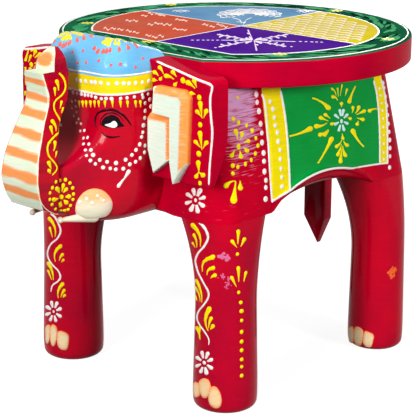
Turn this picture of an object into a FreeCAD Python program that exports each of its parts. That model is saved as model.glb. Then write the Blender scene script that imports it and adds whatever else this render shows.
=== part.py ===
"""Carved and painted elephant stool: a round board on a solid barrel body with four
column legs, a head block with a raised trunk, two ear slabs and a hanging tail.

Frame: +Z up, the elephant looks along -Y, its left side is +X. Every outline is
written about the seat's centre line. Each piece is then placed so that the
origin is the middle of the whole stool's footprint, on the floor. Units are mm.
"""
import FreeCAD, Part
import math
import os
import Sketcher

V = FreeCAD.Vector
X = V(1, 0, 0)
Y = V(0, 1, 0)
Z = V(0, 0, 1)

SIZES = [
    ("seat_diameter", 320, "round board"),
    ("seat_thickness", 23, "board"),
    ("seat_height", 305, "floor to the top of the board"),
    ("seat_edge_round", 2.5, "softened rim of the board"),
    ("chord_inset", 23, "board's circle to its straight front edge"),
    ("joint_height", 170, "floor to the joint of legs and body"),
    ("body_overhang", 59, "board's circle to the side of the body under it"),
    ("body_lean", 16, "how much further out the body's side is at the leg joint"),
    ("rump_overhang", 56, "board's circle to the rump under it"),
    ("rump_lean", 17, "how much further back the rump is at the leg joint"),
    ("chest_lead", 10, "board's straight edge to the chest at the leg joint"),
    ("body_corner_round", 24, "upright corners of the body and of the leg tops"),
    ("belly_rise", 12, "arch of the belly between the legs"),
    ("belly_bevel", 9, "softened edge of the belly"),
    ("leg_inset", 21.4, "body's side at the leg joint to the leg centres"),
    ("front_leg_inset", 30.7, "chest to the front leg centres"),
    ("rear_leg_inset", 21.4, "rump to the rear leg centres"),
    ("front_foot_radius", 28, "widest part of a front foot"),
    ("rear_foot_radius", 26, "widest part of a rear foot"),
    ("front_leg_radius", 26.2, "waist of a front leg"),
    ("rear_leg_radius", 24.8, "waist of a rear leg"),
    ("foot_height", 14, "floor to the widest part of a foot"),
    ("foot_edge_round", 6, "rounded edge under a foot"),
    ("flare_height", 62, "part of the leg that swells towards the body"),
    ("leg_top_width", 55, "leg top, across the stool"),
    ("front_leg_top_depth", 66, "front leg top, along the stool"),
    ("rear_leg_top_depth", 60, "rear leg top, along the stool"),
    ("leg_inner_round", 15, "inner upright corners of a leg top"),
    ("head_half_width", 48.5, "head between the ears"),
    ("crown_rise", 16, "crown above the board"),
    ("jaw_height", 168, "floor to the jaw"),
    ("face_round", 13, "upright front corners of the head"),
    ("head_depth", 101, "board's straight edge to the joint of muzzle and trunk"),
    ("muzzle_half_width", 22, "muzzle at the trunk"),
    ("muzzle_top_height", 221, "floor to the notch behind the trunk"),
    ("muzzle_base_height", 180, "floor to the muzzle's underside at the trunk"),
    ("trunk_lead", 27, "joint of muzzle and trunk to the trunk's front"),
    ("trunk_half_width", 22.3, "trunk at its root"),
    ("trunk_thickness", 22, "trunk, front to back"),
    ("trunk_ledge_height", 299, "floor to the ledge at the trunk's mouth"),
    ("trunk_tip_height", 317, "floor to the trunk's tip"),
    ("ear_thickness", 21, "ear slab"),
    ("ear_inset", 3, "body's side at the leg joint to the ear's outer edge"),
    ("ear_top_height", 304, "floor to the ear's top beside the head"),
    ("ear_shoulder_height", 294, "floor to the ear's outer corner"),
    ("ear_base_height", 204, "floor to the ear's lower edge"),
    ("ear_free_height", 244, "floor to where the ear's back edge curves forward"),
    ("ear_corner_round", 7, "outer top corner of an ear"),
    ("ear_underside_bevel", 9, "bevel at the ear's lower edge"),
    ("ear_edge_round", 2, "softened front edge of an ear"),
    ("outer_fold_relief", 9, "outer ear fold stands proud by this"),
    ("inner_fold_relief", 6, "inner ear fold stands proud by this"),
    ("fold_bevel", 4.5, "painted bevel of the ear folds"),
    ("tusk_radius", 5, "tusk at its root"),
    ("tusk_tip_radius", 2.7, "bead at the tusk's tip"),
    ("tusk_length", 29, "middle of its root swelling to the tusk's tip"),
    ("tusk_tip_spacing", 34, "tusk tip to tusk tip"),
    ("tusk_root_spacing", 58, "middle of one root swelling to the other"),
    ("tusk_height", 175.5, "floor to the tusk"),
    ("tusk_root_height", 186, "floor to the middle of the root swelling"),
    ("tusk_root_radius", 15, "rounded swelling that the tusk grows from, upright"),
    ("tusk_root_reach", 17, "that swelling, along the cheek"),
    ("tusk_root_bulge", 9, "that swelling, out of the cheek"),
    ("tail_width", 26, "tail slab"),
    ("tail_thickness", 12, "tail slab"),
    ("tail_tip_height", 74, "floor to the tail's point"),
    ("tail_top_height", 226, "floor to the tail's upper end"),
    ("tail_point_length", 28, "pointed end of the tail"),
    ("tail_corner_round", 7, "upper corners of the tail"),
    ("leg_dowel_diameter", 18, "dowel between a leg and the body"),
    ("leg_dowel_length", 70, "dowel between a leg and the body"),
    ("head_dowel_diameter", 12, "dowel between head and body"),
    ("head_dowel_length", 56, "dowel between head and body"),
    ("trunk_dowel_diameter", 10, "dowel between trunk and muzzle"),
    ("trunk_dowel_length", 34, "dowel between trunk and muzzle"),
    ("ear_dowel_diameter", 8, "dowel between an ear and the body"),
    ("ear_dowel_length", 30, "dowel between an ear and the body"),
    ("tail_dowel_diameter", 6, "dowel between tail and body"),
    ("tail_dowel_length", 26, "dowel between tail and body"),
    ("dowel_chamfer", 1, "lead at the dowels' ends"),
    ("dowel_clearance", 0.1, "glue gap round a dowel"),
    ("dowel_end_gap", 0.3, "glue gap beyond a dowel's end"),
    ("screw_pitch", 124, "square of the board's screws"),
    ("screw_diameter", 4.5, "board screw"),
    ("screw_head_diameter", 9, "board screw head"),
    ("screw_head_height", 3, "board screw head"),
    ("screw_length", 44, "board screw under its head"),
    ("screw_point_length", 5, "tapered point of a board screw"),
    ("screw_clearance", 0.1, "gap round a screw"),
    ("plug_diameter", 10, "wooden plug over a screw head"),
    ("plug_length", 7.5, "wooden plug over a screw head"),
    ("filler_depth", 0.5, "painted filler over a plug"),
    ("overrun", 5, "how far a cutting tool passes through"),
]

doc = FreeCAD.newDocument("elephant_stool")
sheet = doc.addObject("Spreadsheet::Sheet", "Sizes")
for row, (alias, value, meaning) in enumerate(SIZES, start=1):
    sheet.set("A%d" % row, meaning)
    sheet.set("B%d" % row, str(value))
    sheet.setAlias("B%d" % row, alias)
doc.recompute()


class Length(float):
    """A value that remembers the expression over the sheet that gives it, so that
    one formula serves for drawing a shape and for binding it."""

    def __new__(cls, value, text):
        made = float.__new__(cls, value)
        made.text = text
        return made

    def __add__(self, other):
        return Length(float(self) + float(other), "(%s + %s)" % (self.text, text_of(other)))

    def __sub__(self, other):
        return Length(float(self) - float(other), "(%s - %s)" % (self.text, text_of(other)))

    def __mul__(self, other):
        return Length(float(self) * float(other), "(%s * %s)" % (self.text, text_of(other)))

    def __rmul__(self, other):
        return Length(float(self) * float(other), "(%s * %s)" % (text_of(other), self.text))

    def __truediv__(self, other):
        return Length(float(self) / float(other), "(%s / %s)" % (self.text, text_of(other)))

    def __neg__(self):
        return Length(-float(self), "(0 - %s)" % self.text)


def text_of(value):
    return getattr(value, "text", repr(value))


class Size:
    """Reads a named size from the sheet: size.seat_height."""

    def __getattr__(self, alias):
        return Length(getattr(sheet, alias), "Sizes." + alias)


size = Size()

# how far things reach from the seat's centre, all carried by the board's size
half_seat = size.seat_diameter / 2
chord_reach = half_seat - size.chord_inset
body_top_half_width = half_seat - size.body_overhang
body_half_width = body_top_half_width + size.body_lean
rump_top_reach = half_seat - size.rump_overhang
rump_reach = rump_top_reach + size.rump_lean
chest_reach = chord_reach + size.chest_lead
muzzle_reach = chord_reach + size.head_depth
trunk_reach = muzzle_reach + size.trunk_lead
ear_reach = chord_reach + size.ear_thickness
ear_half_span = body_half_width - size.ear_inset
crown_height = size.seat_height + size.crown_rise

# the seat's centre line lies behind the origin, so that the trunk's front and
# the board's rear edge are equally far from it
shift = (trunk_reach - half_seat) / 2

PIECES = []


def place(piece):
    """Gives a finished sub-part its place in the stool's frame."""
    shifted(piece)
    PIECES.append(piece)
    return piece


def shifted(piece):
    piece.setExpression("Placement.Base.y", shift.text)


def plane_of(body, role):
    """The body's own origin plane of that role."""
    for feature in body.Origin.OriginFeatures:
        if feature.Role == role:
            return feature
    raise RuntimeError("no plane " + role)


def new_sketch(body, role, offset=None):
    """A sketch on one of the body's planes, raised by that length."""
    sketch = body.newObject("Sketcher::SketchObject", body.Name + "_sketch")
    sketch.AttachmentSupport = (plane_of(body, role), [""])
    sketch.MapMode = "FlatFace"
    if offset is not None:
        sketch.setExpression("AttachmentOffset.Base.z", offset.text)
    return sketch


def bind(sketch, kind, value, *where):
    """A dimension of the sketch, bound to the length's expression."""
    index = sketch.addConstraint(Sketcher.Constraint(kind, *where, float(value)))
    sketch.setExpression("Constraints[%d]" % index, value.text)


def outline(sketch, points):
    """A closed outline of straight lines, each corner a pair of lengths."""
    count = len(points)
    first = sketch.GeometryCount
    for i in range(count):
        here = V(*points[i], 0)
        there = V(*points[(i + 1) % count], 0)
        sketch.addGeometry(Part.LineSegment(here, there), False)
    for i in range(count):
        following = first + (i + 1) % count
        sketch.addConstraint(Sketcher.Constraint("Coincident", first + i, 2, following, 1))
    for i, (px, py) in enumerate(points):
        bind(sketch, "DistanceX", px, -1, 1, first + i, 1)
        bind(sketch, "DistanceY", py, -1, 1, first + i, 1)


def circle(sketch, px, py, diameter):
    """A circle round a point that is a pair of lengths."""
    i = sketch.addGeometry(Part.Circle(V(px, py, 0), Z, diameter / 2), False)
    bind(sketch, "DistanceX", px, -1, 1, i, 3)
    bind(sketch, "DistanceY", py, -1, 1, i, 3)
    bind(sketch, "Radius", diameter / 2, i)


def edges_where(shape, test):
    """Names of the edges whose middle point and direction pass the test."""
    names = []
    for i, edge in enumerate(shape.Edges, start=1):
        middle = edge.valueAt((edge.FirstParameter + edge.LastParameter) / 2)
        if test(edge, middle):
            names.append("Edge%d" % i)
    return names


def pad(body, sketch, length):
    feature = body.newObject("PartDesign::Pad", body.Name + "_pad")
    feature.Profile = sketch
    feature.setExpression("Length", length.text)
    doc.recompute()
    return feature


def pocket(body, name, sketch, length=None, reverse=False):
    """A pocket of that depth, or through everything."""
    feature = body.newObject("PartDesign::Pocket", name)
    feature.Profile = sketch
    feature.Reversed = reverse
    if length is None:
        feature.Type = "ThroughAll"
    else:
        feature.setExpression("Length", length.text)
    doc.recompute()
    return feature


def dress(body, kind, base, names, radius):
    """A Fillet or Chamfer of that size on the named edges."""
    feature = body.newObject("PartDesign::" + kind, body.Name + "_" + kind.lower())
    feature.Base = (base, names)
    feature.setExpression("Radius" if kind == "Fillet" else "Size", radius.text)
    doc.recompute()
    return feature


def rounded_section(z, low_x, high_x, low_y, high_y, rounds):
    """A level outline with four straight sides and four arcs. The rounds are for
    the corners (high x, low y), (high x, high y), (low x, high y), (low x, low y)."""
    corners = [
        (high_x, low_y, -1, 1), (high_x, high_y, -1, -1), (low_x, high_y, 1, -1), (low_x, low_y, 1, 1)]
    edges = []
    ends = []
    for (cx, cy, sx, sy), r in zip(corners, rounds):
        mid = V(cx + sx * r, cy + sy * r, z)
        if sx * sy < 0:
            a = V(mid.x, cy, z)
            b = V(cx, mid.y, z)
        else:
            a = V(cx, mid.y, z)
            b = V(mid.x, cy, z)
        half = r / math.sqrt(2)
        on_arc = V(mid.x - sx * half, mid.y - sy * half, z)
        ends.append((a, on_arc, b))
    for i in range(4):
        a, on_arc, b = ends[i]
        edges.append(Part.Arc(a, on_arc, b).toShape())
        edges.append(Part.LineSegment(b, ends[(i + 1) % 4][0]).toShape())
    return Part.Wire(edges)


def smooth_section(points):
    """A smooth closed outline through the points, numbered alike in every section."""
    curve = Part.BSplineCurve()
    count = len(points)
    steps = [i / count for i in range(count + 1)]
    curve.interpolate(Points=points, PeriodicFlag=True, Parameters=steps)
    return Part.Wire([curve.toShape()])


def bore(at, direction, kind):
    """A hole for a dowel of that kind, centred on the joint at that point."""
    long = getattr(size, kind + "_dowel_length") + 2 * size.dowel_end_gap
    radius = getattr(size, kind + "_dowel_diameter") / 2 + size.dowel_clearance
    return Part.makeCylinder(radius, long, at - direction * (long / 2), direction)


def finish(name, shape):
    """A sub-part from a finished shape."""
    piece = doc.addObject("Part::Feature", name)
    piece.Shape = shape
    return place(piece)


def unplaced(piece):
    """The piece's shape about the seat's centre line."""
    shape = piece.Shape.copy()
    shape.Placement = FreeCAD.Placement()
    return shape


def mirrored(left, name):
    """The right-hand copy of a left-hand sub-part."""
    right = doc.addObject("Part::Mirroring", name)
    right.Source = left
    right.Normal = X
    PIECES.append(right)
    return right


body_top = size.seat_height - size.seat_thickness
half_screw = size.screw_pitch / 2
screw_places = [(sx, sy) for sx in (-1, 1) for sy in (-1, 1)]

# shapes closer than this count as touching
hair = size.overrun / 5000

# where the dowels cross their joints: a leg dowel's x and y, the others' x and
# height
middle_x = size.head_half_width * 0
leg_x = body_half_width - size.leg_top_width / 2
leg_y = {
    "front": size.front_leg_top_depth / 2 - chest_reach,
    "rear": rump_reach - size.rear_leg_top_depth / 2,
}
ear_x = (size.head_half_width + body_top_half_width) / 2
ear_middle = (size.ear_base_height + body_top) / 2
# two dowels in a joint stand apart by this share of the joint's height
head_pitch_share = 0.59
ear_pitch_share = 0.46
joint_tall = body_top - size.ear_base_height
head_heights = [ear_middle + joint_tall * (side * head_pitch_share / 2) for side in (-1, 1)]
ear_heights = [ear_middle + joint_tall * (side * ear_pitch_share / 2) for side in (-1, 1)]
trunk_height = (size.muzzle_base_height + size.muzzle_top_height) / 2
tail_height = (size.joint_height + size.tail_top_height) / 2


def rump_at(height):
    """How far the leaning rump lies behind the seat's centre at that height."""
    lean = (rump_reach - rump_top_reach) / (body_top - size.joint_height)
    return rump_reach - (height - size.joint_height) * lean


def leg_bore(end, side):
    return bore(V(side * leg_x, leg_y[end], size.joint_height), Z, "leg")


def head_bores():
    return [bore(V(0, -chord_reach, z), Y, "head") for z in head_heights]


def ear_bores(side):
    return [bore(V(side * ear_x, -chord_reach, z), Y, "ear") for z in ear_heights]


def trunk_bore():
    return bore(V(0, -muzzle_reach, trunk_height), Y, "trunk")


def tail_bore():
    return bore(V(0, rump_at(tail_height), tail_height), Y, "tail")


# the board: a disc cut straight in front, with stepped holes for screws and plugs
def make_seat():
    body = doc.addObject("PartDesign::Body", "seat_top")
    sketch = new_sketch(body, "XY_Plane", body_top)
    radius = size.seat_diameter / 2
    half_angle = math.acos(chord_reach / radius)
    disc = Part.Circle(V(0, 0, 0), Z, radius)
    sketch.addGeometry(Part.ArcOfCircle(disc, half_angle - math.pi / 2, 1.5 * math.pi - half_angle), False)
    half_chord = radius * math.sin(half_angle)
    left = V(-half_chord, -chord_reach, 0)
    right = V(half_chord, -chord_reach, 0)
    sketch.addGeometry(Part.LineSegment(left, right), False)
    sketch.addConstraint(Sketcher.Constraint("Coincident", 0, 3, -1, 1))
    sketch.addConstraint(Sketcher.Constraint("Coincident", 0, 2, 1, 1))
    sketch.addConstraint(Sketcher.Constraint("Coincident", 1, 2, 0, 1))
    sketch.addConstraint(Sketcher.Constraint("Horizontal", 1))
    bind(sketch, "Radius", radius, 0)
    bind(sketch, "DistanceY", chord_reach, 1, 1, -1, 1)
    board = pad(body, sketch, size.seat_thickness)
    rim = edges_where(board.Shape, lambda edge, middle: abs(middle.z - size.seat_height) < hair)
    dress(body, "Fillet", board, rim, size.seat_edge_round)
    deep = size.filler_depth + size.plug_length + size.screw_head_height
    for name, diameter, depth in (
        ("screw_holes", size.screw_diameter, None),
        ("plug_holes", size.plug_diameter, deep),
    ):
        holes = new_sketch(body, "XY_Plane", size.seat_height)
        for sx, sy in screw_places:
            circle(holes, sx * half_screw, sy * half_screw, diameter + 2 * size.screw_clearance)
        pocket(body, name, holes, depth)
    return place(body)


def leg_top_bounds(end):
    """The left leg's top outline: its low and high x, then its low and high y."""
    low_x = body_half_width - size.leg_top_width
    if end == "front":
        return low_x, body_half_width, -chest_reach, size.front_leg_top_depth - chest_reach
    return low_x, body_half_width, rump_reach - size.rear_leg_top_depth, rump_reach


# the barrel body: leaning sides, a belly arched between the legs, and a flat cut
# in front that head and ears are glued to
def make_body():
    corners = [size.body_corner_round] * 4
    wide = rounded_section(
        size.joint_height, -body_half_width, body_half_width, -chest_reach, rump_reach, corners)
    narrow = rounded_section(
        body_top, -body_top_half_width, body_top_half_width, -chord_reach, rump_top_reach, corners)
    barrel = Part.makeLoft([wide, narrow], True, True)

    def arch(x, rise):
        front = size.front_leg_top_depth - chest_reach
        rear = rump_reach - size.rear_leg_top_depth
        low = size.joint_height
        left = V(x, front, low)
        right = V(x, rear, low)
        crown = V(x, (front + rear) / 2, low + rise)
        return Part.Wire([Part.Arc(left, crown, right).toShape(), Part.LineSegment(right, left).toShape()])

    inner = body_half_width - size.belly_bevel
    barrel = barrel.cut(Part.Face(arch(-inner, size.belly_rise)).extrude(V(2 * inner, 0, 0)))
    for side in (-1, 1):
        near = arch(side * inner, size.belly_rise)
        beyond = size.belly_bevel + size.overrun
        far = arch(side * (inner + beyond), size.belly_rise + beyond)
        barrel = barrel.cut(Part.makeLoft([near, far], True, True))
    reach = body_half_width + size.overrun
    deep = chest_reach - chord_reach + size.overrun
    wall = Part.makeBox(2 * reach, deep, body_top, V(-reach, -chord_reach - deep, size.ear_base_height))
    barrel = barrel.cut(wall)
    for side in (-1, 1):
        for end in ("front", "rear"):
            barrel = barrel.cut(leg_bore(end, side))
        for hole in ear_bores(side):
            barrel = barrel.cut(hole)
    for hole in head_bores() + [tail_bore()]:
        barrel = barrel.cut(hole)
    through = size.seat_thickness - size.filler_depth - size.plug_length - size.screw_head_height
    grip = size.screw_length - through + size.dowel_end_gap
    for sx, sy in screw_places:
        at = V(sx * half_screw, sy * half_screw, body_top - grip)
        barrel = barrel.cut(Part.makeCylinder(size.screw_diameter / 2 + size.screw_clearance, grip, at, Z))
    return finish("body_block", barrel)


# the legs: round columns that swell to a squarer top, flush with the body. Each
# row is how far below the joint a section lies and how much it has swollen
flare_shares = [(0.0, 1.0), (0.22, 0.60), (0.48, 0.26), (0.75, 0.06), (1.0, 0.0)]
# a circle is drawn as four arcs with this share of its radius, and short straights
circle_share = 0.95


def make_leg(end):
    foot = size.front_foot_radius if end == "front" else size.rear_foot_radius
    waist = size.front_leg_radius if end == "front" else size.rear_leg_radius
    middle_y = size.front_leg_inset - chest_reach if end == "front" else rump_reach - size.rear_leg_inset
    middle_x = body_half_width - size.leg_inset
    low_x, high_x, low_y, high_y = leg_top_bounds(end)
    rounds = [size.leg_inner_round] * 4
    rounds[0 if end == "front" else 1] = size.body_corner_round

    def ring(z, radius):
        rounds = [radius * circle_share] * 4
        return rounded_section(
            z, middle_x - radius, middle_x + radius, middle_y - radius, middle_y + radius, rounds)

    flare_start = size.joint_height - size.flare_height
    sections = [
        ring(0, foot - size.foot_edge_round / 4),
        ring(size.foot_height, foot),
        ring((size.foot_height + flare_start) / 2, (foot + waist) / 2)]
    for drop, swell in reversed(flare_shares):
        keep = 1 - swell
        sections.append(rounded_section(
            size.joint_height - drop * size.flare_height,
            keep * (middle_x - waist) + swell * low_x,
            keep * (middle_x + waist) + swell * high_x,
            keep * (middle_y - waist) + swell * low_y,
            keep * (middle_y + waist) + swell * high_y,
            [keep * waist * circle_share + swell * r for r in rounds]))
    column = Part.makeLoft(sections, True, False)
    sole = [edge for edge in column.Edges if edge.BoundBox.ZMax < size.foot_edge_round / 2]
    column = column.makeFillet(size.foot_edge_round, sole)
    column = column.cut(leg_bore(end, 1))
    mirrored(finish("leg_%s_left" % end, column), "leg_%s_right" % end)


# the head: one block with flat cheeks, a flat face, a crown that falls back to
# the board, and a muzzle that carries the trunk below the notch. The first table
# gives the half width, as a share, against the share of the way from the board's
# straight edge to the muzzle's end. Each row of the second gives the height, how
# far the outline lies inside that width, how far back and front reach, and how
# much further in the crown is pinched at the back
cheek_shares = [
    (0.00, 1.000), (0.21, 1.000), (0.34, 0.995), (0.45, 0.960), (0.54, 0.890), (0.61, 0.820),
    (0.69, 0.695), (0.80, 0.570), (0.92, 0.485), (1.00, 0.460), (1.10, 0.450),
]
level_shares = [
    (0.000, 0.371, -0.168, 0.525, 0.000),
    (0.007, 0.268, -0.168, 0.653, 0.000),
    (0.023, 0.175, -0.168, 0.752, 0.000),
    (0.046, 0.103, -0.168, 0.851, 0.000),
    (0.078, 0.054, -0.168, 0.980, 0.000),
    (0.124, 0.019, -0.168, 1.059, 0.000),
    (0.183, 0.000, -0.168, 1.079, 0.000),
    (0.261, 0.000, -0.168, 1.069, 0.000),
    (0.314, 0.000, -0.168, 1.050, 0.000),
    (0.340, 0.000, -0.168, 1.010, 0.000),
    (0.356, 0.000, -0.168, 0.931, 0.000),
    (0.379, 0.000, -0.168, 0.856, 0.000),
    (0.412, 0.000, -0.168, 0.777, 0.000),
    (0.458, 0.000, -0.168, 0.703, 0.000),
    (0.516, 0.000, -0.168, 0.659, 0.000),
    (0.588, 0.000, -0.168, 0.646, 0.000),
    (0.699, 0.000, -0.168, 0.644, 0.000),
    (0.784, 0.000, -0.168, 0.644, 0.010),
    (0.830, 0.004, -0.168, 0.644, 0.041),
    (0.863, 0.012, -0.158, 0.639, 0.074),
    (0.902, 0.045, -0.099, 0.624, 0.132),
    (0.922, 0.070, 0.000, 0.612, 0.148),
    (0.948, 0.115, 0.139, 0.590, 0.144),
    (0.974, 0.190, 0.277, 0.554, 0.103),
    (0.987, 0.247, 0.355, 0.533, 0.052),
    (1.000, 0.309, 0.410, 0.508, 0.000),
]
# the pinch dies out at this share of the way forward
pinch_end_share = 0.45
SIDE_POINTS = 6
CORNER_POINTS = 5


def between(table, share):
    """Reads a table of pairs by straight lines from row to row."""
    for (low, first), (high, second) in zip(table, table[1:]):
        if share <= high:
            return first + (second - first) * (share - low) / (high - low)
    return table[-1][1]


def head_outline(height, inside, back, front, pinch):
    """A level outline of the head: back, rounded corner, cheek that narrows to
    the face, rounded corner and front, then the same again mirrored."""
    deep = muzzle_reach - chord_reach
    z = size.jaw_height + height * (crown_height - size.jaw_height)
    r = min(size.face_round, 0.45 * (front - back) * deep)
    start = back * deep
    end = front * deep

    def cheek(forward):
        share = forward / deep
        pinched = pinch * max(0, 1 - max(0, share) / pinch_end_share)
        return size.head_half_width * (between(cheek_shares, share) - inside - pinched)

    half = []
    for i in range(CORNER_POINTS + 1):
        turn = math.pi / 2 * i / CORNER_POINTS
        half.append((cheek(start) - r * (1 - math.sin(turn)), start + r * (1 - math.cos(turn))))
    for i in range(1, SIDE_POINTS):
        forward = start + r + (end - start - 2 * r) * i / SIDE_POINTS
        half.append((cheek(forward), forward))
    for i in range(CORNER_POINTS + 1):
        turn = math.pi / 2 * i / CORNER_POINTS
        forward = end - r * (1 - math.sin(turn))
        half.append((cheek(forward) - r * (1 - math.cos(turn)), forward))
    ring = [(0, start)] + half + [(0, end)] + [(-x, forward) for x, forward in reversed(half)]
    return smooth_section([V(x, -chord_reach - forward, z) for x, forward in ring])


def make_head(body):
    head = Part.makeLoft([head_outline(*row) for row in level_shares], True, False)
    reach = size.head_half_width + size.overrun
    tall = crown_height - size.jaw_height + 2 * size.overrun
    low = size.jaw_height - size.overrun
    behind = Part.makeBox(2 * reach, chord_reach, tall, V(-reach, -chord_reach, low))
    ahead = Part.makeBox(2 * reach, chord_reach, tall, V(-reach, -muzzle_reach - chord_reach, low))
    head = head.cut(behind).cut(ahead).cut(unplaced(body))
    for hole in head_bores() + [trunk_bore()]:
        head = head.cut(hole)
    return finish("head_block", head)


# the trunk: raised in front of the face, with a ledge at its mouth and a pointed
# upper lip behind it. Each row of shares is the height between root and ledge,
# then the width, and how far front and back lie behind the trunk's foremost
# line, in trunk thicknesses
trunk_shares = [
    (0.00, 0.86, 0.36, 1.23),
    (0.08, 0.95, 0.17, 1.23),
    (0.27, 1.00, 0.00, 1.23),
    (0.40, 0.94, 0.09, 1.20),
    (0.54, 0.82, 0.34, 1.34),
    (0.66, 0.71, 0.62, 1.56),
    (0.75, 0.65, 0.88, 1.88),
    (0.83, 0.61, 1.00, 2.08),
    (0.92, 0.55, 0.90, 2.18),
    (1.00, 0.50, 0.80, 2.24),
]
lip_shares = [
    (0.00, 0.50, 1.33, 2.24),
    (0.37, 0.48, 1.37, 2.18),
    (0.75, 0.33, 1.58, 2.09),
    (1.00, 0.14, 1.78, 2.00),
]
# the front corners of the trunk, and of the lip, as shares of their half width
trunk_corner_share = 0.16
lip_corner_share = 0.3
# the trunk's underside rises this share of its thickness towards the front
underside_share = 0.55


def make_trunk():
    root = size.muzzle_base_height
    tall = size.trunk_ledge_height - root
    joint_y = -muzzle_reach

    def level(z, wide, front, back, corner_share):
        half = size.trunk_half_width * wide
        front_y = front * size.trunk_thickness - trunk_reach
        back_y = back * size.trunk_thickness - trunk_reach
        corner = min(half, (back_y - front_y) / 2) * corner_share
        return rounded_section(z, -half, half, front_y, back_y, [corner, 2 * corner, 2 * corner, corner])

    stem = Part.makeLoft(
        [level(root + up * tall, w, f, b, trunk_corner_share) for up, w, f, b in trunk_shares], True, False)
    rise = size.trunk_tip_height - size.trunk_ledge_height
    base = size.trunk_ledge_height
    lip = Part.makeLoft(
        [level(base + up * rise, w, f, b, lip_corner_share) for up, w, f, b in lip_shares], True, True)
    trunk = stem.fuse(lip)
    half = size.trunk_half_width + size.overrun
    front_y = -trunk_reach - size.overrun
    lift = size.trunk_thickness * underside_share
    low = root - size.overrun
    wedge = Part.makePolygon([
        V(-half, joint_y, root), V(-half, -trunk_reach, root + lift), V(-half, front_y, root + lift),
        V(-half, front_y, low), V(-half, joint_y, low), V(-half, joint_y, root)])
    trunk = trunk.cut(Part.Face(wedge).extrude(V(2 * half, 0, 0)))
    behind = Part.makeBox(
        2 * half, size.trunk_thickness, size.muzzle_top_height - low, V(-half, joint_y, low))
    trunk = trunk.cut(behind)
    trunk = trunk.cut(trunk_bore())
    return finish("trunk", trunk)


# the ears: slabs glued to the body's front and beside the head. Each has two
# carved folds planted on its face
ear_inner = size.head_half_width * 0.6
# outlines of the folds, as shares of the ear's span and of its height, and
# whether the side that starts there is bevelled
outer_fold_shares = [
    (0.489, 0.57, False), (0.662, 0.56, False), (0.662, 0.18, False), (0.695, 0.0, False),
    (0.805, 0.19, True), (0.825, 0.74, True), (0.775, 0.80, True), (0.505, 0.80, False)]
inner_fold_shares = [
    (0.400, 0.56, False), (0.415, 0.26, False), (0.475, 0.05, False),
    (0.658, 0.21, True), (0.658, 0.56, True)]


def cut_by_head(blank, head):
    """The left and right sub-parts of a blank, hollowed to the head's side."""
    name = blank.Name.replace("_blank", "")
    left = doc.addObject("Part::Cut", name + "_left")
    left.Base = blank
    left.Tool = head
    PIECES.append(left)
    mirrored(left, name + "_right")
    doc.recompute()


def make_ear(head):
    blank = doc.addObject("PartDesign::Body", "ear_blank")
    shifted(blank)
    sketch = new_sketch(blank, "XZ_Plane", chord_reach)
    outline(sketch, [
        (ear_inner, size.ear_base_height),
        (ear_half_span, size.ear_base_height),
        (ear_half_span, size.ear_shoulder_height),
        (ear_inner, size.ear_top_height),
    ])
    slab = pad(blank, sketch, ear_reach - chord_reach)
    span = ear_half_span - hair
    upper = edges_where(slab.Shape, lambda e, m: m.x > span and m.z > size.ear_shoulder_height - hair)
    slab = dress(blank, "Fillet", slab, upper, size.ear_corner_round)

    def in_front(m):
        return abs(m.y + ear_reach) < hair

    lower = edges_where(slab.Shape, lambda e, m: in_front(m) and m.z < size.ear_base_height + hair)
    slab = dress(blank, "Chamfer", slab, lower, size.ear_underside_bevel)
    low = size.ear_base_height + size.ear_underside_bevel + hair
    rim = edges_where(slab.Shape, lambda e, m: in_front(m) and m.z > low and m.x > size.head_half_width)
    dress(blank, "Fillet", slab, rim, size.ear_edge_round)
    side = new_sketch(blank, "YZ_Plane", body_half_width - size.body_corner_round)
    below = size.ear_base_height - size.overrun
    behind = size.overrun - chord_reach
    outline(side, [
        (-chord_reach, size.ear_free_height),
        (-ear_reach, size.ear_base_height),
        (-ear_reach, below),
        (behind, below),
        (behind, size.ear_free_height),
    ])
    pocket(blank, "ear_relief", side, None, True)
    holes = new_sketch(blank, "XZ_Plane", chord_reach)
    for height in ear_heights:
        circle(holes, ear_x, height, size.ear_dowel_diameter + 2 * size.dowel_clearance)
    pocket(blank, "ear_holes", holes, size.ear_dowel_length / 2 + size.dowel_end_gap, True)
    cut_by_head(blank, head)


def make_fold(name, shares, relief, head):
    """A fold planted on the ear's face, with a bevel on the sides that have one."""
    blank = doc.addObject("PartDesign::Body", name + "_blank")
    shifted(blank)
    sketch = new_sketch(blank, "XZ_Plane", ear_reach)
    tall = size.ear_top_height - size.ear_base_height
    corners = [(x * ear_half_span, size.ear_base_height + z * tall) for x, z, bevelled in shares]
    outline(sketch, corners)
    fold = pad(blank, sketch, relief)
    face_y = -ear_reach - relief
    wanted = []
    for i, (x, z, bevelled) in enumerate(shares):
        if bevelled:
            (ax, az), (bx, bz) = corners[i], corners[(i + 1) % len(corners)]
            wanted.append(V((ax + bx) / 2, face_y, (az + bz) / 2))
    names = edges_where(fold.Shape, lambda e, m: any(m.distanceToPoint(at) < hair for at in wanted))
    dress(blank, "Chamfer", fold, names, size.fold_bevel)
    cut_by_head(blank, head)


# the tusks: short stubs under the muzzle, each growing from a rounded swelling
# that lies along the cheek, turned by this angle
swelling_turn = 29


# the tusk's waist behind the bead at its tip, as a share of the bead's radius
waist_share = 0.7


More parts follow.
